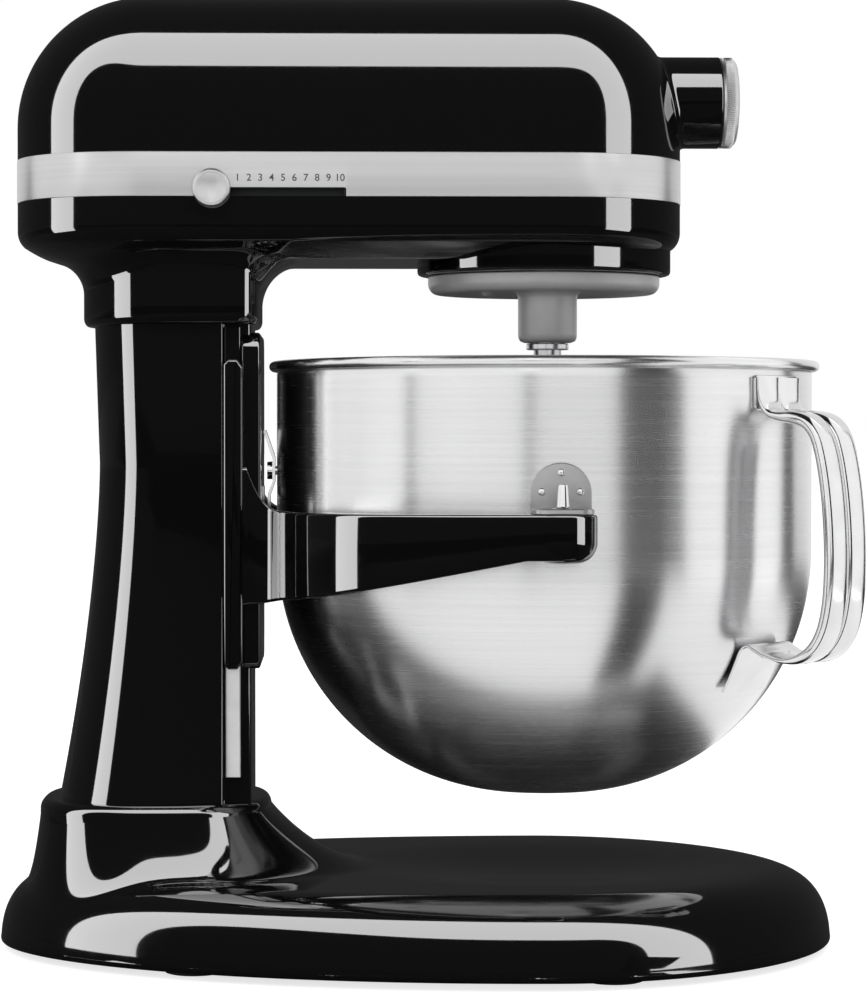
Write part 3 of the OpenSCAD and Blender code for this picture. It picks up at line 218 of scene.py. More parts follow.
@dataclass
class Surface:
    """Points in millimetres and faces of any size, with one UV pair per face corner."""

    points: Array
    corners: Array
    sizes: Array
    uvs: Array

    @staticmethod
    def grid(points: Array, around: bool = False, along: bool = False) -> "Surface":
        """Quads between neighbouring points of a grid.

        Args:
            points: Array of rows x columns x 3.
            around: Whether the last column joins the first.
            along: Whether the last row joins the first.

        Returns:
            The surface, with U along the columns and V along the rows.
        """
        rows, columns = points.shape[:2]
        index = np.arange(rows * columns).reshape(rows, columns)
        j, i = np.meshgrid(np.arange(rows - (not along)), np.arange(columns - (not around)),
                           indexing="ij")
        quad = [(j, i), (j, i + 1), (j + 1, i + 1), (j + 1, i)]
        corners = pts(*(index[a % rows, b % columns] for a, b in quad)).reshape(-1)
        uvs = np.stack([pts(b / columns, a / rows) for a, b in quad], axis=-2)
        return Surface(points.reshape(-1, 3), corners, np.full(len(corners) // 4, 4),
                       uvs.reshape(-1, 2).astype(float))

    @staticmethod
    def face(loop: Array) -> "Surface":
        """One flat face through a closed loop of points."""
        return Surface(loop, np.arange(len(loop)), np.array([len(loop)]), np.zeros((len(loop), 2)))

    @staticmethod
    def tube(rings: Array) -> "Surface":
        """Quads round a stack of rings, and a flat face on the first and the last ring."""
        ends = Surface.face(rings[0][::-1]) + Surface.face(rings[-1])
        return Surface.grid(rings, around=True) + ends

    def __add__(self, other: "Surface") -> "Surface":
        """Return both surfaces as one."""
        return Surface(np.vstack([self.points, other.points]),
                       np.concatenate([self.corners, other.corners + len(self.points)]),
                       np.concatenate([self.sizes, other.sizes]), np.vstack([self.uvs, other.uvs]))

    def moved(self, matrix: Array, offset: Place = (0, 0, 0)) -> "Surface":
        """Return a copy with its points turned by a 3 x 3 matrix and then shifted by offset."""
        return Surface(self.points @ np.asarray(matrix, float).T + np.asarray(offset, float),
                       self.corners, self.sizes, self.uvs)

    def both_sides(self) -> "Surface":
        """Return the surface and its mirror image across the XZ plane."""
        return self + self.moved(np.diag([1.0, -1.0, 1.0]))

    def mesh(self, name: str) -> bpy.types.Mesh:
        """Put the surface into a mesh, with its doubles merged and its faces outwards.

        Args:
            name: The mesh's name.

        Returns:
            The new mesh, in metres.
        """
        mesh = bpy.data.meshes.new(name)
        mesh.vertices.add(len(self.points))
        mesh.vertices.foreach_set("co", (self.points * MM).astype(np.float32).ravel())
        mesh.loops.add(len(self.corners))
        mesh.loops.foreach_set("vertex_index", self.corners.astype(np.int32))
        mesh.polygons.add(len(self.sizes))
        starts = np.concatenate([[0], np.cumsum(self.sizes)[:-1]])
        mesh.polygons.foreach_set("loop_start", starts.astype(np.int32))
        mesh.update(calc_edges=True)
        mesh.uv_layers.new(name="UVMap").data.foreach_set("uv", self.uvs.astype(np.float32).ravel())
        work = bmesh.new()
        work.from_mesh(mesh)
        bmesh.ops.remove_doubles(work, verts=work.verts, dist=2e-6)
        bmesh.ops.dissolve_degenerate(work, edges=work.edges, dist=1e-7)
        bmesh.ops.recalc_face_normals(work, faces=work.faces)
        work.to_mesh(mesh)
        work.free()
        return mesh


def revolve(profile: Array, steps: int, axis: Array = UPRIGHT, place: Place = (0, 0, 0),
            closed: bool = False) -> Surface:
    """Surface swept by turning a profile about Z, and then moved.

    Args:
        profile: Rows of (radius, height).
        steps: Points round the axis.
        axis: Matrix that turns Z to the axis.
        place: Where the profile's origin goes.
        closed: Whether the profile runs back to its start, as for a ring.

    Returns:
        The surface.
    """
    turn = full_turn(steps)
    r, z = np.asarray(profile, float).T[:, :, None]
    return Surface.grid(pts(r * np.cos(turn), r * np.sin(turn), z), True, closed).moved(axis, place)


def cylinder(radius: float, height: float, steps: int, axis: Array, place: Place) -> Surface:
    """Plain cylinder that starts at place and runs along axis."""
    return revolve([[0, 0], [radius, 0], [radius, height], [0, height]], steps, axis, place)


def carried(line: Array, across: Array, off: Array, back: Array | float = 0.0) -> Surface:
    """Closed tube along a line in the XZ plane.

    Args:
        line: Rows of (x, z).
        across: Y of each section's points.
        off: Their distance from the line, in its plane.
        back: How far they are shifted towards -X.

    Returns:
        The closed surface.
    """
    out = -normals_2d(line, closed=False)
    x, z = (line[:, k, None] + out[:, k, None] * off for k in (0, 1))
    rings = pts(x - back, across, z)
    return Surface.grid(rings, around=True) + Surface.face(rings[0]) + Surface.face(rings[-1])


def shell(outer: Array, inner: Array) -> Surface:
    """Outer and inner skins, each a stack of rings, joined at their first rings."""
    return (Surface.grid(outer, around=True) + Surface.grid(inner[::-1], around=True)
            + Surface.grid(np.stack([inner[0], outer[0]]), around=True))


def joined(parts: list[Surface]) -> Surface:
    """Return a list of surfaces as one."""
    return sum(parts[1:], parts[0])


def slab(outline: Array, low: float, high: float, edge: float, steps: int = 5) -> Surface:
    """Plate with a closed outline, from z = low to z = high, with quarter-round edges.

    A ring at the turn s of an edge lies edge * (1 - sin s) inside the outline and
    edge * (1 - cos s) from the face.

    Args:
        outline: Rows of (x, y).
        low: Height of the lower face.
        high: Height of the upper face.
        edge: Radius of the rounded edges.
        steps: Rings on each edge.

    Returns:
        The closed surface.
    """
    x, y = outline.T
    out = normals_2d(outline) * (1.0 if (x * np.roll(y, -1) - y * np.roll(x, -1)).sum() > 0 else -1.0)
    c, s = quarter(steps)
    inset = np.concatenate([edge * s, edge * c])
    height = np.concatenate([low + edge * c, high - edge * s])
    rings = outline[None] - out[None] * inset[:, None, None]
    return Surface.tube(pts(rings[..., 0], rings[..., 1], height[:, None]))


def new_object(name: str, data: bpy.types.ID) -> bpy.types.Object:
    """Put a new object with this data into the scene.

    Args:
        name: The object's name.
        data: Its mesh, curve, lamp or camera.

    Returns:
        The new object.
    """
    made = bpy.data.objects.new(name, data)
    bpy.context.scene.collection.objects.link(made)
    return made


def shown_mesh(item: bpy.types.Object) -> bpy.types.Mesh:
    """Return a new mesh of an object as it shows, with its modifiers or its text applied."""
    bpy.context.view_layer.update()
    return bpy.data.meshes.new_from_object(item.evaluated_get(bpy.context.evaluated_depsgraph_get()))


def shade(mesh: bpy.types.Mesh, sharp: float) -> None:
    """Shade a mesh smooth, but for edges above an angle in degrees."""
    mesh.polygons.foreach_set("use_smooth", np.ones(len(mesh.polygons), bool))
    mesh.set_sharp_from_angle(angle=math.radians(sharp))


def make_piece(name: str, surface: Surface, body: str, finish: "Finish", *nodes: str,
               sharp: float = 38.0) -> bpy.types.Object:
    """Turn a surface into an object that rides on a body.

    Args:
        name: The piece's name.
        surface: Its points and faces, in millimetres.
        body: The body it rides on.
        finish: The finish that dresses it.
        nodes: Construction nodes that it stands for.
        sharp: Angle in degrees above which an edge stays sharp.

    Returns:
        The new object.
    """
    mesh = surface.mesh(name)
    shade(mesh, sharp)
    piece = new_object(name, mesh)
    mesh.materials.append(finish.material())
    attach(piece, body)
    if nodes:
        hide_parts(*nodes)
    LOG.info("%s: %d faces on %s", name, len(mesh.polygons), body)
    return piece


def cut(piece: bpy.types.Object, cutter: Surface) -> None:
    """Take a closed surface's volume, in millimetres, out of a piece.

    Args:
        piece: The object that is cut.
        cutter: The closed surface.
    """
    tool = make_piece("cutter", cutter, "frame", BLACK_PLASTIC)
    step = piece.modifiers.new("opening", "BOOLEAN")
    step.operation, step.solver, step.object = "DIFFERENCE", "EXACT", tool
    mesh = shown_mesh(piece)
    piece.modifiers.clear()
    old, piece.data = piece.data, mesh
    mesh.name = piece.name
    while len(mesh.materials) > 1:
        mesh.materials.pop()
    mesh.polygons.foreach_set("material_index", np.zeros(len(mesh.polygons), np.int32))
    bpy.data.meshes.remove(old)
    bpy.data.objects.remove(tool)
    shade(mesh, 38.0)


def span(node: str) -> tuple[Array, Array]:
    """Return a construction node's lowest and highest corners, in millimetres."""
    low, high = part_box(node)
    return np.asarray(low, float) / MM, np.asarray(high, float) / MM


# ---------------------------------------------------------------- finishes

MADE: dict[str, bpy.types.Material] = {}


class Texture(Enum):
    """The surface patterns that a finish may carry."""

    GRAIN = "grain"
    ROUND_BRUSHING = "round_brushing"
    LONG_BRUSHING = "long_brushing"
    TURNED = "turned"


class Nodes:
    """Short calls for building one node tree."""

    def __init__(self, tree: bpy.types.NodeTree) -> None:
        """Keep the tree that the nodes go into."""
        self.tree = tree

    @staticmethod
    def of(owner: bpy.types.ID) -> "Nodes":
        """Start an empty tree on a material or a world.

        Args:
            owner: The material or world.

        Returns:
            Its tree's helper.
        """
        owner.use_nodes = True
        owner.node_tree.nodes.clear()
        return Nodes(owner.node_tree)

    def add(self, kind: str, links: dict[str | int, object] | None = None,
            inputs: dict[str | int, object] | None = None, **settings: object) -> bpy.types.Node:
        """Add a node.

        Args:
            kind: The node's type, such as "ShaderNodeTexNoise".
            links: Outputs of other nodes by the name or place of the input they feed.
            inputs: Values by the input's name or place.
            settings: The node's own properties.

        Returns:
            The new node.
        """
        node = self.tree.nodes.new(kind)
        for key, value in settings.items():
            setattr(node, key, value)
        for key, value in (inputs or {}).items():
            node.inputs[key].default_value = value
        for key, source in (links or {}).items():
            self.tree.links.new(source, node.inputs[key])
        return node

    def math(self, operation: str, first: object, second: object = None) -> object:
        """Add a Math node on values or outputs and return its output.

        Args:
            operation: The operation's name.
            first: The first value or output.
            second: The second one, where there is one.

        Returns:
            The node's output.
        """
        node = self.add("ShaderNodeMath", operation=operation)
        for socket, value in zip(node.inputs, (first, second)):
            if isinstance(value, (int, float)):
                socket.default_value = value
            elif value is not None:
                self.tree.links.new(value, socket)
        return node.outputs[0]


def glow_material(name: str, strength: float) -> bpy.types.Material:
    """Return a material that only gives light.

    Args:
        name: The material's name.
        strength: Its radiance.

    Returns:
        The new material.
    """
    made = bpy.data.materials.new(name)
    kit = Nodes.of(made)
    glow = kit.add("ShaderNodeEmission", inputs={"Strength": strength})
    kit.add("ShaderNodeOutputMaterial", {"Surface": glow.outputs[0]})
    return made


def noise_group(name: str, details: tuple[float, float], rough: float, slow: float,
                share: float) -> bpy.types.NodeTree:
    """Group of a fine noise over a slow one, both on the vector times the fineness.

    Height is share * fine + (1 - share) * slow.

    Args:
        name: The group's name.
        details: Detail of the fine noise and of the slow one.
        rough: Roughness of the fine noise.
        slow: Scale of the slow noise; the fine one's is 1.
        share: Share of the fine noise in Height, with the slow one as the rest.

    Returns:
        The group, whose outputs are Height and Slow.
    """
    if name in bpy.data.node_groups:
        return bpy.data.node_groups[name]
    group = bpy.data.node_groups.new(name, "ShaderNodeTree")
    for key, way, kind in (("Vector", "INPUT", "Vector"), ("Fineness", "INPUT", "Float"),
                           ("Height", "OUTPUT", "Float"), ("Slow", "OUTPUT", "Float")):
        group.interface.new_socket(key, in_out=way, socket_type=f"NodeSocket{kind}")
    kit = Nodes(group)
    start = kit.add("NodeGroupInput").outputs
    scaled = kit.add("ShaderNodeVectorMath", {0: start["Vector"], "Scale": start["Fineness"]},
                     operation="SCALE").outputs[0]
    fine, broad = (kit.add("ShaderNodeTexNoise", {"Vector": scaled},
                           {"Scale": size, "Detail": detail, "Roughness": r}).outputs[0]
                   for size, detail, r in ((1.0, details[0], rough), (slow, details[1], 0.5)))
    total = kit.math("ADD", kit.math("MULTIPLY", fine, share), kit.math("MULTIPLY", broad, 1 - share))
    kit.add("NodeGroupOutput", {"Height": total, "Slow": broad})
    return group


@dataclass(frozen=True)
class Finish:
    """One finish: its shader values and the pattern on it. Lengths are in metres."""

    name: str
    colour: tuple[float, float, float]
    roughness: float
    texture: Texture = Texture.GRAIN
    metallic: float = 0.0
    specular: float = 0.5
    coat: float = 0.0
    coat_roughness: float = 0.03
    anisotropy: float = 0.0
    fineness: float = 1000.0
    relief: float = 0.1
    depth: float = 0.00002
    rough_spread: float = 0.06
    tint_spread: float = 0.08
    centre: tuple[float, float] = (0.0, 0.0)
    slot: str = ""

    def pattern(self, kit: Nodes) -> bpy.types.Node:
        """Place the pattern's group on Object coordinates and return its node.

        Round brushing and turning run on (x, y, radius + z), so that their lines stay circles about
        the centre on the wall and on the bottom. Long brushing runs on (x, y, z). X and Y are
        stretched, so that the lines pack along the third.

        Args:
            kit: The material's tree.

        Returns:
            The group's node, whose outputs are Height and Slow.
        """
        where = kit.add("ShaderNodeTexCoord").outputs["Object"]
        if self.texture is Texture.GRAIN:
            group = noise_group("speckle", (2.0, 1.0), 0.5, 0.06, 1.0)
        else:
            group = noise_group("brushing", (3.0, 2.0), 0.65, 0.23, 0.7)
            shift = kit.add("ShaderNodeMapping", {"Vector": where},
                            {"Location": (-self.centre[0], -self.centre[1], 0.0)})
            x, y, z = kit.add("ShaderNodeSeparateXYZ", {0: shift.outputs[0]}).outputs
            if self.texture is not Texture.LONG_BRUSHING:
                square = kit.math("ADD", kit.math("POWER", x, 2.0), kit.math("POWER", y, 2.0))
                z = kit.math("ADD", kit.math("SQRT", square), z)
            stretch = 0.002 if self.texture is Texture.TURNED else 0.012
            x, y = (kit.math("MULTIPLY", k, stretch) for k in (x, y))
            where = kit.add("ShaderNodeCombineXYZ", {"X": x, "Y": y, "Z": z}).outputs[0]
        return kit.add("ShaderNodeGroup", {"Vector": where}, {"Fineness": self.fineness},
                       node_tree=group)

    def material(self) -> bpy.types.Material:
        """Build the material, or return it if it is there already.

        Returns:
            The material.
        """
        if self.name in MADE:
            return MADE[self.name]
        made = MADE[self.name] = bpy.data.materials.new(f"{self.name}_finish")
        kit = Nodes.of(made)
        height, slow = self.pattern(kit).outputs
        dark, light = ((*(c * (1 + k * self.tint_spread) for c in self.colour), 1) for k in (-1, 1))
        tint = kit.add("ShaderNodeMix", {0: slow}, {6: dark, 7: light}, data_type="RGBA")
        rough = kit.add("ShaderNodeMapRange", {"Value": height},
                        {"To Min": max(0.0, self.roughness - self.rough_spread),
                         "To Max": self.roughness + self.rough_spread})
        bump = kit.add("ShaderNodeBump", {"Height": height},
                       {"Strength": self.relief, "Distance": self.depth})
        links = {"Base Color": tint.outputs[2], "Roughness": rough.outputs[0],
                 "Normal": bump.outputs[0]}
        if self.anisotropy:
            tangent = kit.add("ShaderNodeTangent", direction_type="UV_MAP", uv_map="UVMap")
            links["Tangent"] = tangent.outputs[0]
        shader = kit.add("ShaderNodeBsdfPrincipled", links, {
            "Metallic": self.metallic, "Specular IOR Level": self.specular, "Coat Weight": self.coat,
            "Coat Roughness": self.coat_roughness, "Anisotropic": self.anisotropy,
            "Anisotropic Rotation": 0.25})
        kit.add("ShaderNodeOutputMaterial", {"Surface": shader.outputs[0]})
        return made


GLOSS_ENAMEL = Finish("gloss_enamel", (0.0018, 0.0018, 0.0019), 0.06, specular=0.8, coat=1.0,
                      coat_roughness=0.012, fineness=160, relief=0.012, rough_spread=0.02)
BRUSHED_BAND = Finish("brushed_aluminium", (0.52, 0.52, 0.525), 0.34, Texture.LONG_BRUSHING, 1.0,
                      anisotropy=0.55, fineness=2600, relief=0.22, tint_spread=0.1)
SATIN_SILVER = Finish("satin_silver", (0.52, 0.52, 0.525), 0.34, metallic=1.0, fineness=4000,
                      relief=0.05)
BOWL_STEEL = Finish("brushed_bowl_steel", (0.68, 0.68, 0.685), 0.26, Texture.ROUND_BRUSHING, 1.0,
                    anisotropy=0.75, fineness=2300, relief=0.16, tint_spread=0.07,
                    centre=(BOWL_X * MM, 0.0))
POLISHED_STEEL = Finish("polished_steel", (0.68, 0.68, 0.685), 0.13, metallic=1.0, fineness=1500,
                        relief=0.03, rough_spread=0.03)
TAB_STEEL = Finish("tab_steel", (0.60, 0.60, 0.605), 0.36, metallic=1.0, fineness=3000, relief=0.05,
                   slot="satin_silver")
LUG_STEEL = Finish("lug_steel", (0.40, 0.40, 0.405), 0.42, metallic=1.0, fineness=3000, relief=0.05,
                   slot="polished_steel")
COVER_PAINT = Finish("grey_cover_paint", (0.36, 0.36, 0.365), 0.38, metallic=0.1, coat=0.15,
                     coat_roughness=0.3, fineness=2600, relief=0.06)
TURNED_STEEL = Finish("machined_steel", (0.56, 0.56, 0.57), 0.24, Texture.TURNED, 1.0, fineness=3000)
BLACK_PLASTIC = Finish("black_plastic", (0.018, 0.018, 0.019), 0.45, fineness=2500, relief=0.12)
FOOT_RUBBER = Finish("foot_rubber", (0.03, 0.03, 0.031), 0.8, fineness=1600, relief=0.2)
PRINT = Finish("dial_print", (0.05, 0.05, 0.052), 0.5, fineness=3000, slot="black_plastic")
SLOT_FINISHES = {finish.name: finish for finish in (
    GLOSS_ENAMEL, BRUSHED_BAND, SATIN_SILVER, BOWL_STEEL, POLISHED_STEEL, COVER_PAINT, TURNED_STEEL,
    BLACK_PLASTIC, FOOT_RUBBER,
    Finish("dark_steel", (0.12, 0.12, 0.125), 0.42, metallic=0.8, fineness=1800),
    Finish("bronze", (0.45, 0.29, 0.13), 0.4, metallic=1.0, fineness=3000),
    Finish("cast_aluminium", (0.46, 0.47, 0.48), 0.5, metallic=1.0, fineness=1200, relief=0.25),
    Finish("nylon", (0.62, 0.58, 0.48), 0.45, fineness=1500),
    Finish("magnet_ferrite", (0.05, 0.05, 0.055), 0.6, fineness=2200, relief=0.2),
    Finish("copper_winding", (0.45, 0.17, 0.07), 0.38, Texture.TURNED, 1.0, fineness=1400,
           relief=0.3),
    Finish("circuit_board", (0.004, 0.014, 0.008), 0.45, fineness=1200))}


def dress_mechanism() -> None:
    """Give each construction node that still shows the finish of its record slot."""
    slots = {part["node"]: part["material_slot"] for part in frame["record"]["subparts"]}
    for name, node in frame["nodes"].items():
        node.data.materials.clear()
        node.data.materials.append(SLOT_FINISHES[slots[name]].material())
    LOG.info("mechanism: %d construction nodes dressed by slot", len(frame["nodes"]))


# ---------------------------------------------------------------- the head

@dataclass
class Head:
    """Motor head: cover, housing with the neck, trim band and dial numbers."""

    rear_x: float = -118.6
    front_x: float = 59.5
    round_r: float = 58.0
    half_w: float = 61.0
    centre_z: float = 362.5
    fullness: float = 2.5
    plan: float = 2.15
    wall: float = 3.5
    tuck: float = 1.4
    band_low: float = 329.0
    band_high: float = 348.2
    band_proud: float = 0.25
    band_edge: float = 0.35
    crease_z: float = 312.0
    under_z: float = 303.4
    neck_z: float = 275.0
    neck_mid: float = -108.25
    neck_half: float = 39.25
    neck_w: float = 50.0
    neck_power: tuple[float, float] = (2.0, 9.0)
    neck_steps: tuple[Place, ...] = ((0.0, 9.0), (0.0, 3.4), (0.12, 2.6), (0.5, 1.5), (1.1, 0.6),
                                     (1.9, 0.12), (2.6, 0.0))
    fillet: float = 20.0
    hub_z: float = 375.4
    columns: int = 640
    ring_r: float = 56.6
    notch: Place = (-92.2, -31.2, 332.9)
    number_x: tuple[float, float] = (-77.6, -33.9)
    number_z: float = 335.6
    number_size: float = 4.3

    def __post_init__(self) -> None:
        """Work out the outline's columns, evenly spaced along the outline.

        A column is (centre x, cosine part, sine part): the outline's point is
        (centre + rx * cosine part, ry * sine part). The middle is straight: only the centre moves.
        """
        a = np.linspace(-RIGHT_ANGLE, RIGHT_ANGLE, 600)
        c, s = (signed_power(k, 2 / self.plan) for k in (np.cos(a), np.sin(a)))
        c[0] = c[-1] = 0.0
        front = pts(self.front_x, c, s)
        line = np.vstack([front, pts(self.rear_x, -c, -s), front[:1]])
        flat = pts(line[:, 0] + self.round_r * line[:, 1], self.half_w * line[:, 2])
        along = np.concatenate([[0], np.cumsum(np.linalg.norm(np.diff(flat, axis=0), axis=1))])
        at = np.linspace(0, along[-1], self.columns, endpoint=False)
        self.column = pts(*(np.interp(at, along, k) for k in line.T))

    def ring(self, z: Array | float, inset: float = 0.0, dome: Array | float = 0.0) -> Array:
        """Rings of the head's outline.

        Above the centre the length falls as sqrt(1 - t^2) and the width as (1 - t^2.5)^(1/2.5),
        with t the share of the height.

        Args:
            z: Height of each ring.
            inset: Distance inside the outer surface.
            dome: Turn of each ring up the dome in radians, 0 on the upright wall.

        Returns:
            Rings x columns x 3.
        """
        z, dome = np.broadcast_arrays(np.atleast_1d(z).astype(float), np.atleast_1d(dome))
        t = np.sin(dome) ** (2 / self.fullness)
        rx = (self.round_r - inset) * np.sqrt(np.maximum(1 - t ** 2, 0))
        ry = (self.half_w - inset) * np.cos(dome).clip(0) ** (2 / self.fullness)
        centre, c, s = self.column.T
        return pts(centre + rx[:, None] * c, ry[:, None] * s, z[:, None])

    def dome(self, inset: float) -> Array:
        """Rings from the split behind the band up to the ridge, inset from the outer surface.

        Args:
            inset: Distance inside the outer surface.

        Returns:
            Rings x columns x 3.
        """
        turn = np.linspace(0, RIGHT_ANGLE, 64)
        top = self.centre_z + (self.round_r - inset) * np.sin(turn) ** (2 / self.fullness)
        split = (self.band_low + self.band_high) / 2 + 0.3
        return np.concatenate([self.ring([split, self.band_high - 0.6], inset or self.tuck),
                               self.ring([self.band_high - 0.3, self.centre_z - 5], inset),
                               self.ring(top, inset, turn)])

    def neck_level(self, x: Array, y: Array, inset: float = 0.0) -> Array:
        """Return 1 on the neck's outline, less inside it and more outside."""
        return level(x, y, self.neck_mid, self.neck_half - inset, self.neck_w - inset,
                     np.where(x > self.neck_mid, *self.neck_power[::-1]))

    def under(self, x: Array, y: Array, fillet: Array) -> Array:
        """Height of the underside.

        It falls from the crease to the flat as (1 - u)^1.5 over 18 mm, and then down the quarter
        circle of the neck's fillet.

        Args:
            x: X of the points.
            y: Y of the points.
            fillet: Radius of the neck's fillet on each point's ray.

        Returns:
            Their heights.
        """
        q = level(x, y, np.clip(x, self.rear_x, self.front_x), self.round_r, self.half_w, self.plan)
        u = np.clip((1 - q) * self.round_r / 18, 0, 1)
        qn = self.neck_level(x, y)
        d = np.clip((qn - 1) * np.hypot(x - self.neck_mid, y) / np.maximum(qn, 0.1) / fillet, 0, 1)
        drop = fillet * (1 - np.sqrt(np.clip(1 - (1 - d) ** 2, 0, 1)))
        return self.under_z + (self.crease_z - self.under_z) * (1 - u) ** 1.5 - drop

    def skin(self, inset: float) -> Array:
        """Rings of the housing from the split down the wall, in under the head and down the neck.

        The crease is a quadratic curve from the wall to 3 mm inside it. The underside's points run
        along straight rays from the neck's centre, closest together at the crease and the neck.
        The fillet's radius is (fillet^-4 + gap^-4)^(-1/4), with gap 0.6 of each ray's length.

        Args:
            inset: Distance inside the outer surface.

        Returns:
            Rings x columns x 3.
        """
        split = (self.band_low + self.band_high) / 2
        wall = np.concatenate([
            self.ring([split, self.band_low + 0.6], inset or self.tuck),
            self.ring(np.linspace(self.band_low + 0.3, self.crease_z + 4.5 + inset, 5), inset)])
        edge = self.ring(0.0, inset + 3.0)[0]
        centre = np.array([self.neck_mid, 0.0])
        reach = (edge[:, :2] - centre) / self.neck_level(edge[:, 0], edge[:, 1], inset)[:, None]
        inward = centre + reach - edge[:, :2]
        gap = 0.6 * np.linalg.norm(inward, axis=1)
        fillet = (self.fillet ** -4.0 + gap ** -4.0) ** -0.25
        edge[:, 2] = self.under(edge[:, 0], edge[:, 1], fillet) + inset
        corner = self.ring(self.crease_z + 0.4 + inset, inset + 0.2)[0]
        f = np.linspace(0, 1, 12)[1:-1, None, None]
        bend = (1 - f) ** 2 * wall[-1] + 2 * f * (1 - f) * corner + f ** 2 * edge
        s = 0.5 * (1 - np.cos(np.pi * np.linspace(0, 1, 90) ** 0.9))[:, None]
        x, y = (edge[:, k] + inward[:, k] * s for k in (0, 1))
        z = np.maximum(self.under(x, y, fillet), self.under_z - self.fillet) + inset
        shrink, rise = np.array(self.neck_steps).T[..., None]
        k = 1 - shrink / self.neck_half
        bottom = self.neck_z + (12 if inset else 0)
        foot = pts(self.neck_mid + reach[:, 0] * k, reach[:, 1] * k, np.minimum(bottom + rise, z[-1]))
        return np.concatenate([wall, bend, pts(x, y, z), foot])

    def housing(self) -> Surface:
        """Lower shell: outer and inner skins joined at the split, and closed across the neck."""
        outer, inner = self.skin(0.0), self.skin(self.wall)
        return shell(outer, inner) + Surface.face(outer[-1]) + Surface.face(inner[-1][::-1])

    def band(self) -> Surface:
        """Trim band: a thin ring round the head, a quarter millimetre proud, with soft edges.

        Returns:
            The closed surface.
        """
        c, s = (self.band_edge * k for k in quarter(4))
        inset = np.concatenate([[1.2], s - self.band_proud, c - self.band_proud, [1.2]])
        low, high = self.band_low + 0.05, self.band_high - 0.05
        z = np.concatenate([[low], low + c, high - s, [high]])
        rings = np.concatenate([self.ring(b, a) for a, b in zip(inset, z)])
        return Surface.grid(rings, around=True, along=True)

    def x_at(self, y: Array, z: Array) -> Array:
        """X of the head's front surface: its length there times (1 - (y / width)^n)^(1 / n).

        Args:
            y: Y of the points.
            z: Their heights.

        Returns:
            Their X.
        """
        t = np.clip((z - self.centre_z) / self.round_r, 0, 1)
        rx = self.round_r * np.sqrt(1 - t ** 2)
        ry = self.half_w * (1 - t ** self.fullness) ** (1 / self.fullness)
        return self.front_x + rx * (1 - np.clip(np.abs(y) / ry, 0, 1) ** self.plan) ** (1 / self.plan)

    def numbers(self) -> None:
        """Print the dial's numbers, 1 to 10, along the band over the notch."""
        for number, x in enumerate(np.linspace(*self.number_x, 10), start=1):
            name = f"dial_number_{number}"
            curve = bpy.data.curves.new(name, "FONT")
            curve.body, curve.size, curve.align_x = str(number), self.number_size * MM, "CENTER"
            curve.extrude, curve.offset = 0.03 * MM, 0.05 * MM
            text = new_object(name, curve)
            mesh = shown_mesh(text)
            bpy.data.objects.remove(text)
            bpy.data.curves.remove(curve)
            place = Matrix(TO_MINUS_Y.tolist()).to_4x4()
            place.translation = Vector((x, -(self.half_w + 0.27), self.number_z)) * MM
            mesh.transform(place)
            mesh.materials.clear()
            mesh.materials.append(PRINT.material())
            piece = new_object(name, mesh)
            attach(piece, "frame")
        LOG.info("dial numbers: 10 on frame")

    def build(self) -> None:
        """Make the head's pieces and cut their openings."""
        cover = make_piece("head_cover", shell(self.dome(0.0), self.dome(self.wall)), "frame",
                           GLOSS_ENAMEL, "top_cover")
        cut(cover, cylinder(19.2, 60, 96, TO_PLUS_X, (80.0, 0, self.hub_z)))
        housing = make_piece("head_underside", self.housing(), "frame", GLOSS_ENAMEL, "head_housing")
        cut(housing, cylinder(self.ring_r, 40, 160, UPRIGHT, (BOWL_X, 0, 283.0)))
        band = make_piece("trim_ring", self.band(), "frame", BRUSHED_BAND, "trim_band")
        x0, x1, top = self.notch
        for piece, side, low in ((band, 0.0, 320.0), (housing, 0.5, 329.2)):
            opening = slab(box_outline(x0 + side, x1 - side, low, top, 0.7), 50.0, 70.0, 0.01)
            cut(piece, opening.moved(TO_MINUS_Y))
        self.numbers()


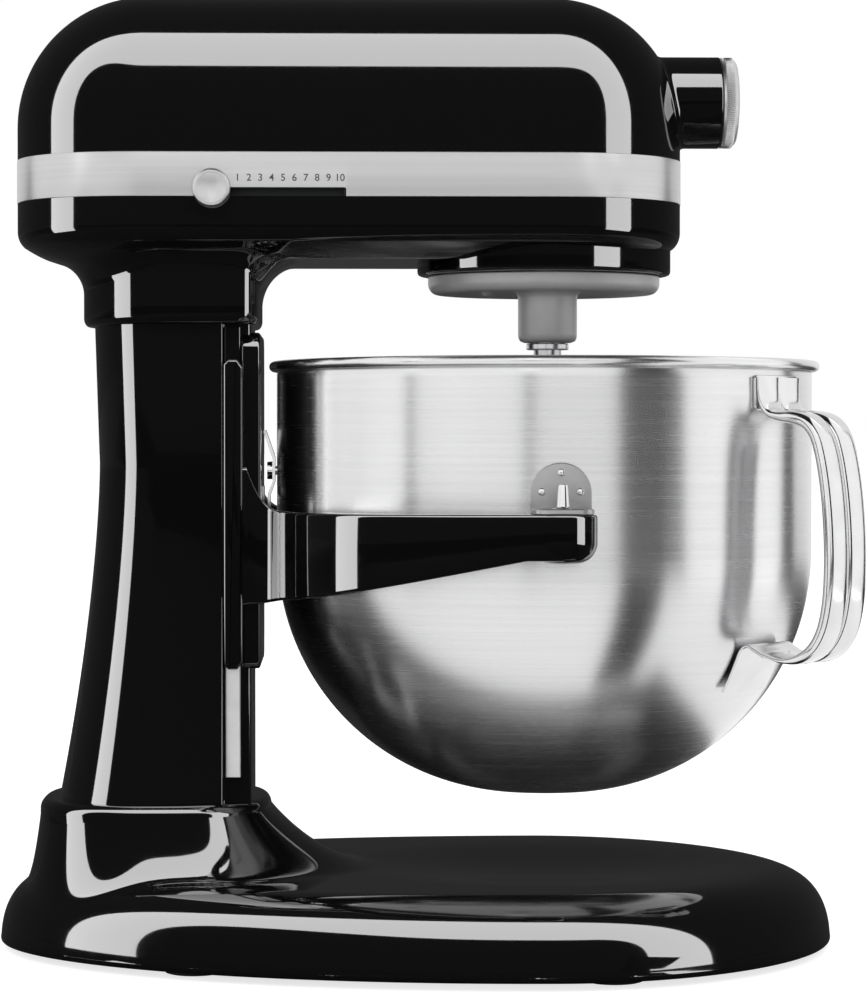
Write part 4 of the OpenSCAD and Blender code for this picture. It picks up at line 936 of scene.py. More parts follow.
@dataclass
class Hub:
    """Attachment hub: barrel with its root fillet, cap and clamp knob."""

    head: Head
    barrel_r: float = 20.3
    bore_r: float = 12.8
    bore_x: float = 98.0
    face_x: float = 135.4
    flare: float = 2.4
    rim_r: float = 0.9
    flutes: int = 132

    def barrel(self) -> Surface:
        """Barrel: a bore, a face, a rounded rim, and a root that flares into the head.

        The root is a quadratic curve in each radial plane, from the head's own surface outside the
        barrel to the barrel ahead of it, pulled towards the corner where the two meet.

        Returns:
            The closed surface.
        """
        turn = full_turn(256)
        y, z = np.cos(turn), np.sin(turn)

        def ring(x: Array | float, r: float) -> Array:
            """Return one ring about the hub's axis."""
            return pts(x, r * y, self.head.hub_z + r * z)

        wide = self.barrel_r + self.flare
        foot, meet = (self.head.x_at(r * y, self.head.hub_z + r * z) for r in (wide, self.barrel_r))
        root = [ring((1 - k) ** 2 * foot + 2 * k * (1 - k) * meet + k ** 2 * (meet + self.flare),
                     (1 - k) ** 2 * wide + (1 - (1 - k) ** 2) * self.barrel_r)
                for k in np.linspace(0, 1, 14)]
        rim = [ring(self.face_x - self.rim_r * s, self.barrel_r - self.rim_r * c)
               for c, s in zip(*quarter(6))]
        inside = [ring(self.face_x, self.bore_r + 0.5), ring(self.face_x - 0.5, self.bore_r),
                  ring(self.bore_x, self.bore_r), ring(self.bore_x, self.barrel_r - 1.6),
                  ring(foot - 3, wide - 0.6)]
        return Surface.grid(np.stack([ring(foot - 1.2, wide)] + root + rim + inside), True, True)

    def cap(self) -> Surface:
        """Cap: a plain ring, fine flutes that follow a cosine round the rim, and a crowned face.

        Returns:
            The cap, its closing back and its spigot.
        """
        turn = full_turn(self.flutes * 8)
        r = self.barrel_r
        h, a, d = np.array([
            (0.0, 8.0, 0), (0.0, r - 0.6, 0), (0.35, r - 0.15, 0), (1.2, r - 0.15, 0),
            (1.35, r - 0.75, 0), (1.6, r - 0.7, 0.2), (2.0, r - 0.12, 0.55), (5.1, r - 0.12, 0.55),
            (5.6, r - 0.6, 0.3), (5.9, r - 1.2, 0), (6.6, r - 1.7, 0), (7.15, r - 2.6, 0),
            (7.45, r - 4.2, 0), (7.5, r - 7.0, 0), (7.5, 0.0, 0)]).T[..., None]
        out = a - d * (0.5 - 0.5 * np.cos(self.flutes * turn))
        rings = pts(self.face_x + h, out * np.cos(turn), self.head.hub_z + out * np.sin(turn))
        place = (self.face_x, 0, self.head.hub_z)
        closing = revolve([[8.0, 0.0], [0.0, 0.0]], len(turn), TO_PLUS_X, place)
        spigot = revolve([[10.8, 0.05], [10.8, -4], [12.4, -4], [12.65, -3.7], [12.65, 0.05]], 96,
                         TO_PLUS_X, place, closed=True)
        return Surface.grid(rings, around=True) + closing + spigot

    def clamp_knob(self) -> Surface:
        """Clamp knob on the far side: a grip of six lobes whose radius follows a cosine.

        Returns:
            The grip and its stem.
        """
        low, high = span("hub_clamp_knob")
        turn = full_turn(180)
        r = 9 + 1.2 * np.cos(6 * turn)
        x, _, z = (low + high) / 2
        y0, y1, place = low[1], high[1], (x, 0.0, z)
        stem = revolve([[0, y0], [3.4, y0], [3.9, y0 + 0.6], [3.9, y1 - 10], [0, y1 - 10]], 48,
                       TO_PLUS_Y, place)
        crown = slab(pts(r * np.cos(turn), r * np.sin(turn)), y1 - 11, y1, 2.2, 8)
        return crown.moved(TO_PLUS_Y, place) + stem

    def build(self) -> None:
        """Make the hub's pieces."""
        make_piece("hub_housing", self.barrel(), "frame", GLOSS_ENAMEL, "hub_barrel")
        make_piece("hub_cover", self.cap(), "hub_cap", SATIN_SILVER, "hub_cap", sharp=50)
        make_piece("hub_clamp_grip", self.clamp_knob(), "hub_clamp", BLACK_PLASTIC, "hub_clamp_knob")


@dataclass
class SpeedKnob:
    """Round speed knob that slides under the band."""

    radius: float = 8.2
    thickness: float = 6.0
    edge: float = 1.5
    place: Place = (-88.7, -61.8, 332.5)

    def build(self) -> None:
        """Turn the knob's profile about Y: a flat back, a thick rounded edge and a shallow face."""
        r, t = self.radius, self.thickness
        c, s = (self.edge * k for k in quarter(8))
        profile = np.vstack([[[0, 0], [r - 0.8, 0], [r - 0.2, 0.25], [r, 0.8]], pts(r - c, t - s),
                             [[r - 2.4, t - 0.12], [r - 2.9, t - 0.35], [0.0, t - 0.42]]])
        make_piece("speed_dial_knob", revolve(profile, 144, TO_MINUS_Y, self.place), "speed",
                   SATIN_SILVER, "speed_knob")


# ---------------------------------------------------------------- column and base

@dataclass
class Column:
    """Upright column with its guide block and bright guide rails."""

    front_x: float = -72.5
    depth: float = 68.1
    half_w: float = 45.0
    block_w: float = 38.0
    block_depth: float = 12.1
    foot_z: float = 55.5
    top_z: float = 281.0
    lip_z: float = 67.5
    waist_z: float = 214.8
    neck_z: float = 275.0
    power: float = 2.0
    wall: float = 5.0
    cavity_z: tuple[float, float] = (64.0, 272.0)
    rail_z: tuple[float, float] = (78.4, 150.0)
    levels: int = 90

    def below(self, z: float, top: float) -> float:
        """Return how far a height is on its way from top down to the socket's lip, 0 to 1."""
        return min(1.0, max(0.0, (top - z) / (top - self.lip_z)))

    def outline(self, z: float, grow: float = 0.0) -> Array:
        """Ring at a height: half a superellipse behind, straight sides and a guide block in front.

        Args:
            z: Height of the ring.
            grow: Distance outside the outer surface.

        Returns:
            A ring of points.
        """
        above = min(1.0, max(0.0, (z - self.waist_z) / (self.neck_z - self.waist_z)))
        rear = (self.front_x - self.depth - 17.7 * self.below(z, self.waist_z) ** 1.6 - 2 * above
                - grow)
        half = self.half_w + 8 * self.below(z, self.waist_z - 15) ** 2 + grow
        step = self.front_x - self.block_depth + grow
        middle = (step + rear) / 2
        behind = np.radians(np.linspace(90, 270, 121))
        body = superellipse(behind, middle - rear, half, self.power, middle)
        side = half - 0.4 * (half - self.half_w)
        w, front = self.block_w + grow, self.front_x + grow
        corners = [body[-1], [step, -side], [step, -w], [front, -w], [front, w], [step, w],
                   [step, side], body[0]]
        block = round_corners(corners, [0, 0.7, 0.7, 1.8, 1.8, 0.7, 0.7, 0], 7, closed=False)
        return raised(np.vstack([body, block[7:-7]]), z)

    def build(self) -> None:
        """Make the column and its rails."""
        rings = [self.outline(z) for z in np.linspace(self.foot_z, self.top_z, self.levels)]
        column = make_piece("column_casting", Surface.tube(np.stack(rings)), "frame", GLOSS_ENAMEL,
                            "column")
        cut(column, slab(box_outline(-106, -46, -0.4, 5.4, 0.5), 108, 178, 0.01))
        cavity = [self.outline(z, -self.wall) for z in np.linspace(*self.cavity_z, 12)]
        cut(column, Surface.tube(np.stack(cavity)))
        low, high = span("guide_rails")
        for name, z0, z1, finish in (("slide_rails", *self.rail_z, TAB_STEEL),
                                     ("painted_rail_ends", self.rail_z[1], high[2], GLOSS_ENAMEL)):
            rail = slab(box_outline(low[0], high[0], self.block_w, high[1], 0.8), z0, z1, 0.3)
            make_piece(name, rail.both_sides(), "frame", finish, "guide_rails")


@dataclass
class Base:
    """Cast base with its dish, socket for the column, and rubber feet."""

    front_x: float = 184.7
    rear_x: float = -184.6
    half_w: float = 136.0
    fullness: tuple[float, float] = (1.9, 2.0)
    deck_z: float = 35.8
    edge_w: float = 36.0
    edge_power: float = 2.6
    lip_z: float = 67.5
    lip_h: float = 5.0
    lip_w: float = 4.3
    socket_mid: float = -115.55
    socket_half: float = 51.05
    socket_w: float = 58.0
    socket_power: float = 2.6
    dish: float = 4.0
    dish_r: tuple[float, float] = (96.0, 84.0)
    foot_h: float = 3.0
    foot_r: float = 13.0
    columns: int = 360
    rows: int = 130
    feet: tuple[tuple[float, float], ...] = ((-157.9, 0), (158, 0), (-95.3, 80), (-95.3, -80),
                                             (79.6, 108), (79.6, -108))

    def __post_init__(self) -> None:
        """Work out the turn of each column round the outline."""
        self.turn = full_turn(self.columns) + np.pi / self.columns

    def outline(self, inset: float) -> Array:
        """Outline of the base: two half superellipses about the bowl's axis."""
        front, rear = (superellipse(self.turn, abs(end - BOWL_X) - inset, self.half_w - inset, power,
                                    BOWL_X)
                       for end, power in zip((self.front_x, self.rear_x), self.fullness))
        return np.where((np.cos(self.turn) >= 0)[:, None], front, rear)

    def socket(self, inset: float) -> Array:
        """Outline of the socket's lip."""
        return superellipse(self.turn, self.socket_half - inset, self.socket_w - inset,
                            self.socket_power, self.socket_mid)

    def height(self, x: Array, y: Array) -> Array:
        """Height of the deck: a rounded edge, a flare up to the socket, and a shallow dish.

        The edge is deck * (1 - (1 - e)^2.6)^(1/2.6) over the 36 mm from the outline. The flare rises
        as (1 - d)^2 over a reach of 7 mm behind, 15.5 mm at the sides and 50 mm in front.

        Args:
            x: X of the points.
            y: Y of the points.

        Returns:
            Their heights.
        """
        front, n = x >= BOWL_X, self.edge_power
        q = level(x, y, BOWL_X, np.where(front, self.front_x - BOWL_X, BOWL_X - self.rear_x),
                  self.half_w, np.where(front, *self.fullness))
        e = np.clip((1 - q) * np.hypot(x - BOWL_X, y) / np.maximum(q, 0.05) / self.edge_w, 0, 1)
        s = level(x, y, self.socket_mid, self.socket_half, self.socket_w, self.socket_power)
        r = np.hypot(x - self.socket_mid, y)
        ahead = 1 + (x - self.socket_mid) / np.maximum(r, 1)
        far = 7 + 8.5 * smooth(ahead) + 34.5 * (ahead / 2) ** 9
        d = np.clip((s - 1) * r / np.maximum(s, 0.1) / far, 0, 1)
        b = np.clip(((x - BOWL_X) / self.dish_r[0]) ** 2 + (y / self.dish_r[1]) ** 2, 0, 1)
        return (self.deck_z * (1 - (1 - e) ** n) ** (1 / n)
                + (self.lip_z - self.lip_h - self.deck_z) * (1 - d) ** 2 - self.dish * (1 - b) ** 2)

    def casting(self) -> Surface:
        """Whole casting: foot of the skirt, deck, socket lip and the ledge round the cover plate.

        Returns:
            The closed surface.
        """
        o, i = self.outline(0.0), self.socket(0.0)
        s = 0.5 * (1 - np.cos(np.pi * np.linspace(0, 1, self.rows) ** 1.15))[:, None]
        x, y = (o[:, k] + (i - o)[:, k] * s for k in (0, 1))
        deck = pts(x, y, np.maximum(self.height(x, y), self.foot_h + 2.4))
        skirt = [raised(self.outline(inset), self.foot_h + h) for inset, h in (
            (5.0, 1.5), (4.2, 1.5), (4.2, 0), (1.6, 0), (0.7, 0.25), (0.2, 0.8), (0, 1.6))]
        lip = [raised(self.socket(self.lip_w * c), self.lip_z - self.lip_h * s)
               for c, s in list(zip(*quarter(10)))[1:]]
        return Surface.tube(np.concatenate([skirt, deck, lip]))

    def build(self) -> None:
        """Make the casting and the feet."""
        make_piece("base_body", self.casting(), "frame", GLOSS_ENAMEL, "base_casting")
        r = self.foot_r
        profile = [[0, 0.9], [6, 0.9], [7, 0.0], [r - 1.6, 0], [r - 0.6, 0.3], [r - 0.1, 1.0],
                   [r, 1.8], [r, self.foot_h], [0, self.foot_h]]
        feet = joined([revolve(profile, 96, UPRIGHT, (x, y, 0)) for x, y in self.feet])
        make_piece("foot_pads", feet, "frame", FOOT_RUBBER, "rubber_feet")


# ---------------------------------------------------------------- bowl support and lift

@dataclass
class BowlSupport:
    """Sliding support: front plate, cheeks, two curved arms, cups and locating pins."""

    rear_x: float = -84.2
    front_x: float = -68.5
    cheek_x: float = -75.9
    plate_x: float = -76.6
    plate_w: float = 42.6
    cheek_y: tuple[float, float] = (41.3, 46.0)
    slide_z: tuple[float, float] = (125.6, 259.7)
    plate_top: float = 271.7
    arm_z: float = 194.5
    arm_edge: float = 1.5
    hollow_h: float = 18.5
    hollow_x: float = -74.4
    hollow_reach: float = 14.5
    root_z: float = 154.0
    tip_z: float = 175.5
    cup_r: float = 14.2
    cup_y: float = 129.5
    cup_h: float = 20.5
    cup_round: float = 9.0
    wall_r: float = 119.4
    pin_y: float = 132.0
    stations: int = 170
    outer: tuple[tuple[float, float], ...] = (
        (-83.4, -45.6), (-76, -45.6), (-70, -45.8), (-64.6, -47.6), (-61.2, -53), (-58.8, -62),
        (-56, -75.5), (-52, -90), (-45.5, -105), (-35, -119.5), (-22, -129.5), (-7, -135.8),
        (11, -139.6), (32, -141.3), (57, -141.6))
    inner: tuple[tuple[float, float], ...] = (
        (-83.4, -41.6), (-76, -41.6), (-68, -41.6), (-61.6, -42.4), (-56, -48), (-52.6, -56.4),
        (-48.4, -68), (-43, -80), (-36, -92), (-25, -107), (-9, -118.2), (13, -124.2), (57, -126.4))

    def arm(self) -> Surface:
        """One arm: a rounded rectangle carried along the middle of two plan curves.

        At each station the section reaches from the inner curve to the outer one and from the
        underside, a straight rise, to the top, level but for a hollow curve up to the cheek.

        Returns:
            The closed surface on the near side.
        """
        out, inn = (spline(k, self.stations)[:, None] for k in (self.outer, self.inner))
        x = (out[..., 0] + inn[..., 0]) / 2
        u = np.clip((x - self.hollow_x) / self.hollow_reach, 0, 1)
        top = self.arm_z + self.hollow_h * (1 - u) ** 2.3
        rise = np.clip((x - self.front_x) / (BOWL_X - 15 - self.front_x), 0, 1)
        low = (self.root_z + (self.tip_z - self.root_z) * rise
               - 2.5 * (1 - smooth((x + 84) / 12)))
        c, s = (self.arm_edge * k for k in quarter(7))
        across = np.linalg.norm(out - inn, axis=2)
        lateral = np.hstack([across - c, s + 0 * across, c + 0 * across, across - s]) / across
        height = np.hstack([top - s, top - c, low + s, low + c])
        x, y = (inn[..., k] + (out - inn)[..., k] * lateral for k in (0, 1))
        return Surface.tube(pts(x, y, height))

    def cheek(self) -> Surface:
        """One cheek: a chamfered plate beside the column.

        Returns:
            The closed surface on the near side.
        """
        r, f, (z0, z1) = self.rear_x, self.cheek_x, self.slide_z
        line = [[r, z0 + 2], [r + 2, z0], [f - 2.5, z0], [f, z0 + 3.5], [f, z1 - 3.5], [f - 2.5, z1],
                [r + 2, z1], [r, z1 - 2]]
        return slab(round_corners(line, 0.8, 4), *self.cheek_y, 1.1).moved(TO_MINUS_Y)

    def plate(self) -> Surface:
        """Front plate: a tall slab with soft edges and round upper corners."""
        line = box_outline(-self.plate_w, self.plate_w, self.slide_z[0], self.plate_top, [5, 5, 9, 9])
        return slab(line, self.plate_x, self.front_x, 1.2).moved(TO_PLUS_X)

    def cup(self) -> Surface:
        """Cup at an arm's end: a turned boss with a rounded bottom, cut back along the bowl's wall.

        Returns:
            The closed surface on the near side.
        """
        low, (c, s), (ct, st) = self.arm_z - self.cup_h, quarter(14), quarter(6)
        bottom = pts(self.cup_r - self.cup_round * s, low + self.cup_round * c)
        top = pts(self.cup_r - 1.5 * ct, self.arm_z - 1.5 * st)
        made = revolve(np.vstack([[[0, low]], bottom, top, [[0, self.arm_z]]]), 128, UPRIGHT,
                       (BOWL_X, -self.cup_y, 0))
        wall = -np.sqrt(self.wall_r ** 2 - (made.points[:, 0] - BOWL_X) ** 2)
        made.points[:, 1] = np.minimum(made.points[:, 1], wall)
        return made

    def pin(self) -> Surface:
        """Locating pin: a washer under a slim cone with a rounded tip."""
        profile = [[0, -8], [3, -8], [3, -0.05], [4.5, -0.05], [4.9, 0.4], [4.9, 2.0], [4.5, 2.5],
                   [2.75, 3.1], [2.2, 11.0], [1.9, 12.0], [1.2, 12.45], [0, 12.5]]
        return revolve(profile, 64, UPRIGHT, (BOWL_X, -self.pin_y, self.arm_z))

    def build(self) -> None:
        """Make the support's pieces."""
        half = self.arm() + self.cheek() + self.cup()
        make_piece("sliding_support", half.both_sides() + self.plate(), "support", GLOSS_ENAMEL,
                   "bowl_support")
        make_piece("bowl_pins", self.pin().both_sides(), "support", POLISHED_STEEL, "locating_pins")


@dataclass
class LiftLever:
    """Lift lever on the far side, with its knob."""

    shaft_x: float = -100.0
    shaft_z: float = 147.5
    length: float = 92.0
    hub_r: float = 13.0
    tip_r: float = 6.0
    knob_y: float = 9.5

    def build(self) -> None:
        """Make the lever as a slab with the outline of two joined circles, and turn the knob."""
        low, high = span("lift_lever")
        lean = math.asin((self.hub_r - self.tip_r - 4) / self.length)
        a = np.linspace(lean, np.pi - lean, 40)
        circle = pts(np.cos(a), np.sin(a))
        waist = np.array([[-9.0, -10.0], [-6.4, -self.length * 0.8]])
        outline = np.vstack([self.hub_r * circle, waist, [0, -self.length] - self.tip_r * circle,
                             waist[::-1] * [-1, 1]])
        place = (self.shaft_x, low[1], self.shaft_z)
        lever = slab(outline, 0.05, high[1] - low[1] - 0.05, 2.0, 7).moved(TO_PLUS_Y, place)
        make_piece("bowl_lift_arm", lever, "lever", GLOSS_ENAMEL, "lift_lever")
        crown = np.array([[3, 0], [6.4, 0], [7, 0.4], [7.6, 1.4], [9.1, 3.6], [10.3, 6.4], [10.95, 10],
                          [10.95, 14], [10.3, 17.6], [8.9, 20.6], [6.6, 22.7], [3.6, 23.8], [0, 24]])
        crown[:, 1] += self.knob_y
        profile = np.vstack([[[0, 0.1], [3, 0.1]], crown[:1], spline(crown[1:], 60)])
        knob = revolve(profile, 96, TO_PLUS_Y, (self.shaft_x, low[1], self.shaft_z + self.length))
        make_piece("lift_arm_knob", knob, "lever", BLACK_PLASTIC, "lever_knob")


# ---------------------------------------------------------------- the bowl

@dataclass
class Bowl:
    """Steel bowl with its rolled rim, brackets, weld dots and handle."""

    radius: float = 119.0
    rim_z: float = 259.8
    depth: float = 191.4
    wall: float = 1.2
    turn_r: float = 109.0
    bead: float = 2.3
    arm_z: float = 194.5
    pin_y: float = 132.0
    lug_w: float = 25.0
    lug_h: float = 21.0
    lug_t: float = 2.2
    lug_edge: float = 0.35
    hole_r: float = 5.2
    handle_turn: float = -37.0
    lobe_w: float = 14.6
    lobe_t: float = 6.2
    tab_w: float = 36.0
    tab_t: float = 1.5
    tab_z: tuple[float, float] = (237.5, 252.4)
    path: tuple[tuple[float, float], ...] = (
        (119.9, 251.5), (119.9, 246), (120.6, 240.4), (123.4, 236.4), (128.4, 234.9), (134.6, 234.3),
        (140.6, 232.2), (144.9, 227.2), (147.6, 219.4), (149.8, 208), (151.2, 196), (152, 183),
        (152.1, 170), (151.2, 156.5), (148.6, 145), (143.9, 137), (137, 132.6), (129.6, 131.9),
        (122.4, 134.2))
    lower_tab: tuple[tuple[float, float], ...] = (
        (124.4, 133.2), (119.9, 135.6), (115.9, 137.6), (113.1, 135.6), (111.0, 131.0),
        (107.9, 124.0), (104.6, 117.6))

    def profile(self, inset: float) -> Array:
        """Bowl's line from the middle of the bottom to the rim, inset from the outside.

        The curve is turn_r * sin^0.98 across and turn_r * cos^0.98 down from its centre.

        Args:
            inset: Distance inside the outer line.

        Returns:
            Rows of (radius, height).
        """
        low = self.rim_z - self.depth
        cx, cz, r = self.radius - self.turn_r, low + self.turn_r + 0.1, self.turn_r - inset
        a = np.radians(np.linspace(9, 90, 90))
        return np.vstack([[[0, low + inset], [cx + 2, low + inset]],
                          pts(cx + r * np.sin(a) ** 0.98, cz - r * np.cos(a) ** 0.98),
                          pts(self.radius - inset, np.linspace(cz + 1, self.rim_z - self.bead, 24))])

    def shell(self) -> Surface:
        """Bowl: outer line, round bead, inner line.

        Returns:
            The closed surface.
        """
        a = np.linspace(-np.pi * 0.75, np.pi, 28)
        bead = pts(self.radius + self.bead - self.wall + self.bead * np.cos(a),
                   self.rim_z - self.bead + self.bead * np.sin(a))
        line = np.vstack([self.profile(0.0)[:-1], bead, self.profile(self.wall)[-2::-1]])
        return revolve(line, 360, UPRIGHT, (BOWL_X, 0, 0))

    def bent(self, flat: Surface, turn: float) -> Surface:
        """Wrap a flat plate round the bowl's wall, with its middle at an azimuth in degrees.

        The plate's X becomes arc length, its Y height and its Z the distance from the wall.

        Args:
            flat: The plate, with Z measured from the wall.
            turn: Azimuth of the plate's middle, in degrees.

        Returns:
            The wrapped plate.
        """
        along, up, out = flat.points.T
        a, r = math.radians(turn) + along / self.radius, self.radius + out
        points = pts(BOWL_X + r * np.cos(a), r * np.sin(a), up)
        return Surface(points, flat.corners, flat.sizes, flat.uvs)

    def bracket(self) -> Surface:
        """D-shaped plate on the wall, and a flange over the cup with a hole for the pin.

        Returns:
            The bracket on the near side.
        """
        h, z, e, top = self.lug_w / 2, self.arm_z, self.lug_edge, self.arm_z + self.lug_t
        a = np.linspace(0, np.pi, 40)
        round_top = pts(h * np.cos(a), z + self.lug_h - h + h * np.sin(a))
        plate = slab(np.vstack([[[-h, z + 0.1], [h, z + 0.1]], round_top]), 0.08, 1.65, 0.55)
        line = box_outline(-h, h, -self.pin_y - 9, -self.radius - 0.2, [6.0, 6.0, 0.2, 0.2], 10)
        outer = resample(line, 96, closed=True)
        b = np.arctan2(outer[:, 1] + self.pin_y, outer[:, 0])
        hole = pts(self.hole_r * np.cos(b), self.hole_r * np.sin(b) - self.pin_y)
        inner = outer - normals_2d(outer) * e
        rings = [raised(loop, height) for loop, height in (
            (outer, z + e), (inner, z), (hole, z), (hole, top), (inner, top), (outer, top - e))]
        flange = Surface.grid(np.stack(rings), True, True).moved(UPRIGHT, (BOWL_X, 0, 0))
        return self.bent(plate, -90.0) + flange

    def dot(self, s: float, z: float, turn: float, out: float, r: float = 1.5) -> Surface:
        """Small domed weld dot on the wall, at an arc length, a height and a distance from the axis.

        Args:
            s: Arc length from the azimuth.
            z: Height.
            turn: Azimuth, in degrees.
            out: Distance of the dot's foot from the axis.
            r: The dot's radius.

        Returns:
            The closed surface.
        """
        a = np.linspace(0, RIGHT_ANGLE, 6)
        profile = np.vstack([[[0, -0.4]], pts(r * np.cos(a), 0.5 * np.sin(a))])
        b = math.radians(turn) + s / out
        n = np.array([math.cos(b), math.sin(b), 0.0])
        facing = np.column_stack([[-n[1], n[0], 0], [0, 0, 1], n])
        return revolve(profile, 32, facing, (BOWL_X + out * n[0], out * n[1], z))

    def grip(self) -> Surface:
        """Handle's grip: two round-edged lobes with a narrow groove between them.

        The section is the outline of two rounded rectangles that touch over a shallow hollow. It
        is carried along a smooth curve in the upright plane through the bowl's axis, and narrows
        and thickens from the tabs to the middle.

        Returns:
            The closed surface, in the handle's own plane before it is turned.
        """
        path = spline(self.path, 150)
        along = np.linspace(0, 1, len(path))[:, None]
        full = smooth(along / 0.2) * smooth((1 - along) / 0.16)
        half = self.tab_w / 2 + (self.lobe_w + 0.9 - self.tab_w / 2) * full
        thick = self.tab_t + (self.lobe_t - self.tab_t) * full ** 1.2
        t = full_turn(72)
        lobe = 0.5 + 0.5 * signed_power(np.cos(t), 0.55)
        width = half * (0.05 * full + (1 - 0.05 * full) * lobe)
        off = thick * 0.5 * signed_power(np.sin(t), 0.75)
        return (carried(path, -width, off) + carried(path, width, off)
                + carried(path, 0.9 * half * np.cos(t), 0.22 * thick * np.sin(t)))

    def tabs(self) -> Surface:
        """Upper and lower tabs that hold the handle on the wall.

        Returns:
            Both tabs, in the handle's own plane before it is turned.
        """
        h = self.tab_w / 2
        upper = self.bent(slab(box_outline(-h, h, *self.tab_z, 2.2), 0.08, self.tab_t, 0.45), 0.0)
        line, t = spline(self.lower_tab, 40), full_turn(48)
        across = h * signed_power(np.cos(t), 0.16)
        sag = across ** 2 / (2 * line[:, 0, None])
        lower = carried(line, across, 0.75 * signed_power(np.sin(t), 0.4), sag)
        return upper + lower.moved(UPRIGHT, (BOWL_X, 0, 0))

    def build(self) -> None:
        """Make the bowl's pieces."""
        make_piece("mixing_bowl", self.shell(), "bowl", BOWL_STEEL, "bowl", sharp=50)
        make_piece("bowl_lugs", self.bracket().both_sides(), "bowl", LUG_STEEL, "bowl_brackets")
        dots = [self.dot(s, self.arm_z + z, side * 90.0, self.radius + 1.62)
                for side in (-1, 1) for s, z in ((-8, 9), (8, 9), (0, 17))]
        make_piece("lug_weld_dots", joined(dots), "bowl", POLISHED_STEEL, "weld_studs")
        turn = math.radians(self.handle_turn)
        c, s = math.cos(turn), math.sin(turn)
        spin = np.array([[c, -s, 0], [s, c, 0], [0, 0, 1]])
        grip = self.grip().moved(spin, (BOWL_X, 0, 0))
        tabs = self.tabs().moved(spin, (BOWL_X - BOWL_X * c, -BOWL_X * s, 0))
        welds = [self.dot(k, 246.4, self.handle_turn, self.radius + 1.45, 1.3) for k in (-9, 9)]
        make_piece("bowl_grip", joined([grip, tabs] + welds), "bowl", POLISHED_STEEL, "handle")


# ---------------------------------------------------------------- planetary drive

@dataclass
class Planetary:
    """Drip ring, rotating cover with its boss, and the beater shaft."""

    offset: float = 28.0
    ring_r: float = 56.4
    cover_r: float = 51.6
    cover_z: tuple[float, float] = (289.8, 297.6)
    boss_r: float = 12.9
    boss_z: float = 267.5
    fillet: float = 3.4
    edge: tuple[float, float] = (4.2, 4.8)
    collar_r: tuple[float, float] = (8.9, 9.3)
    groove: float = 0.5
    shaft_r: float = 6.1
    shaft_z: tuple[float, float] = (231.5, 311.0)
    pin_z: float = 257.0

    def build(self) -> None:
        """Turn the ring, the cover, the boss and the shaft."""
        r = self.ring_r
        ring = [[r - 5.8, 312], [r - 5.8, 298.6], [r - 5.3, 298.1], [r - 1.6, 298.0],
                [r - 0.6, 298.4], [r - 0.1, 299.2], [r, 300.2], [r, 312]]
        middle, boss_place = (BOWL_X, 0, 0), (BOWL_X, -self.offset, 0)
        make_piece("drip_collar", revolve(ring, 256, UPRIGHT, middle, closed=True), "frame",
                   GLOSS_ENAMEL, "drip_ring")
        r, (low, high), (c, s) = self.cover_r, self.cover_z, quarter(12)
        disc = np.vstack([[[0, low]], pts(r - self.edge[0] * s, low + self.edge[1] * c),
                          [[r, high - 0.4], [r - 0.4, high], [0, high]]])
        piece = make_piece("planetary_disc", revolve(disc, 256, UPRIGHT, middle), "planetary",
                           COVER_PAINT, "planetary_cover", sharp=50)
        hole, b, z = self.shaft_r + 0.1, self.boss_r, self.boss_z
        cut(piece, cylinder(b - 1, 20, 96, UPRIGHT, (BOWL_X, -self.offset, low - 6)))
        root = pts(b + self.fillet * s, low + 0.3 - self.fillet * c)
        boss = np.vstack([[[hole, high], [hole, z + 0.4], [hole + 0.4, z], [b - 2.6, z],
                           [b - 0.9, z + 0.7], [b - 0.15, z + 2.0], [b, z + 3.6]], root[::-1],
                          [[b + self.fillet, low + 1.4], [b - 0.8, low + 1.4], [b - 0.8, high]]])
        plug = revolve([[0, low - 1.7], [1.5, low - 1.7], [2.1, low - 1.1], [2.4, low + 0.4],
                        [0, low + 0.4]], 48, UPRIGHT, (BOWL_X - 26, -22, 0))
        make_piece("planetary_boss", revolve(boss, 128, UPRIGHT, boss_place, closed=True) + plug,
                   "planetary", COVER_PAINT, "planetary_cover", sharp=50)
        s, pin, (z0, z1), (c0, c1) = self.shaft_r, self.pin_z, self.shaft_z, self.collar_r
        neck = s - self.groove
        shaft = [[0, z0], [s - 1.2, z0], [s - 0.2, z0 + 0.5], [s, z0 + 1.2], [s, pin - 2.6],
                 [neck, pin - 2.4], [neck, pin + 2.4], [s, pin + 2.6], [s, z - 3.2], [c0, z - 3.1],
                 [c1, z - 2.7], [c1, z - 0.8], [c0, z - 0.4], [s, z - 0.3], [s, z1], [0, z1]]
        make_piece("beater_spindle", revolve(shaft, 128, UPRIGHT, boss_place), "beater",
                   TURNED_STEEL, "beater_shaft")


# ---------------------------------------------------------------- studio

class Lamp(Enum):
    """What a lamp lights."""

    ENAMEL = "enamel"
    METAL = "metal"
    TRIM = "trim"


def look_along(item: bpy.types.Object, place: Vector, way: Vector) -> None:
    """Put a lamp or a camera at a place, so that it looks along way."""
    turn = way.to_track_quat("-Z", "Y").to_matrix().to_4x4()
    item.matrix_world = Matrix.Translation(place) @ turn


def stage_sheet(name: str, sheet: Surface, made: bpy.types.Material) -> bpy.types.Object:
    """Put a surface of the studio's into the scene, off the part.

    Args:
        name: The object's name.
        sheet: Its surface, in millimetres.
        made: Its material.

    Returns:
        The new object.
    """
    item = new_object(name, sheet.mesh(name))
    item.data.materials.append(made)
    return item


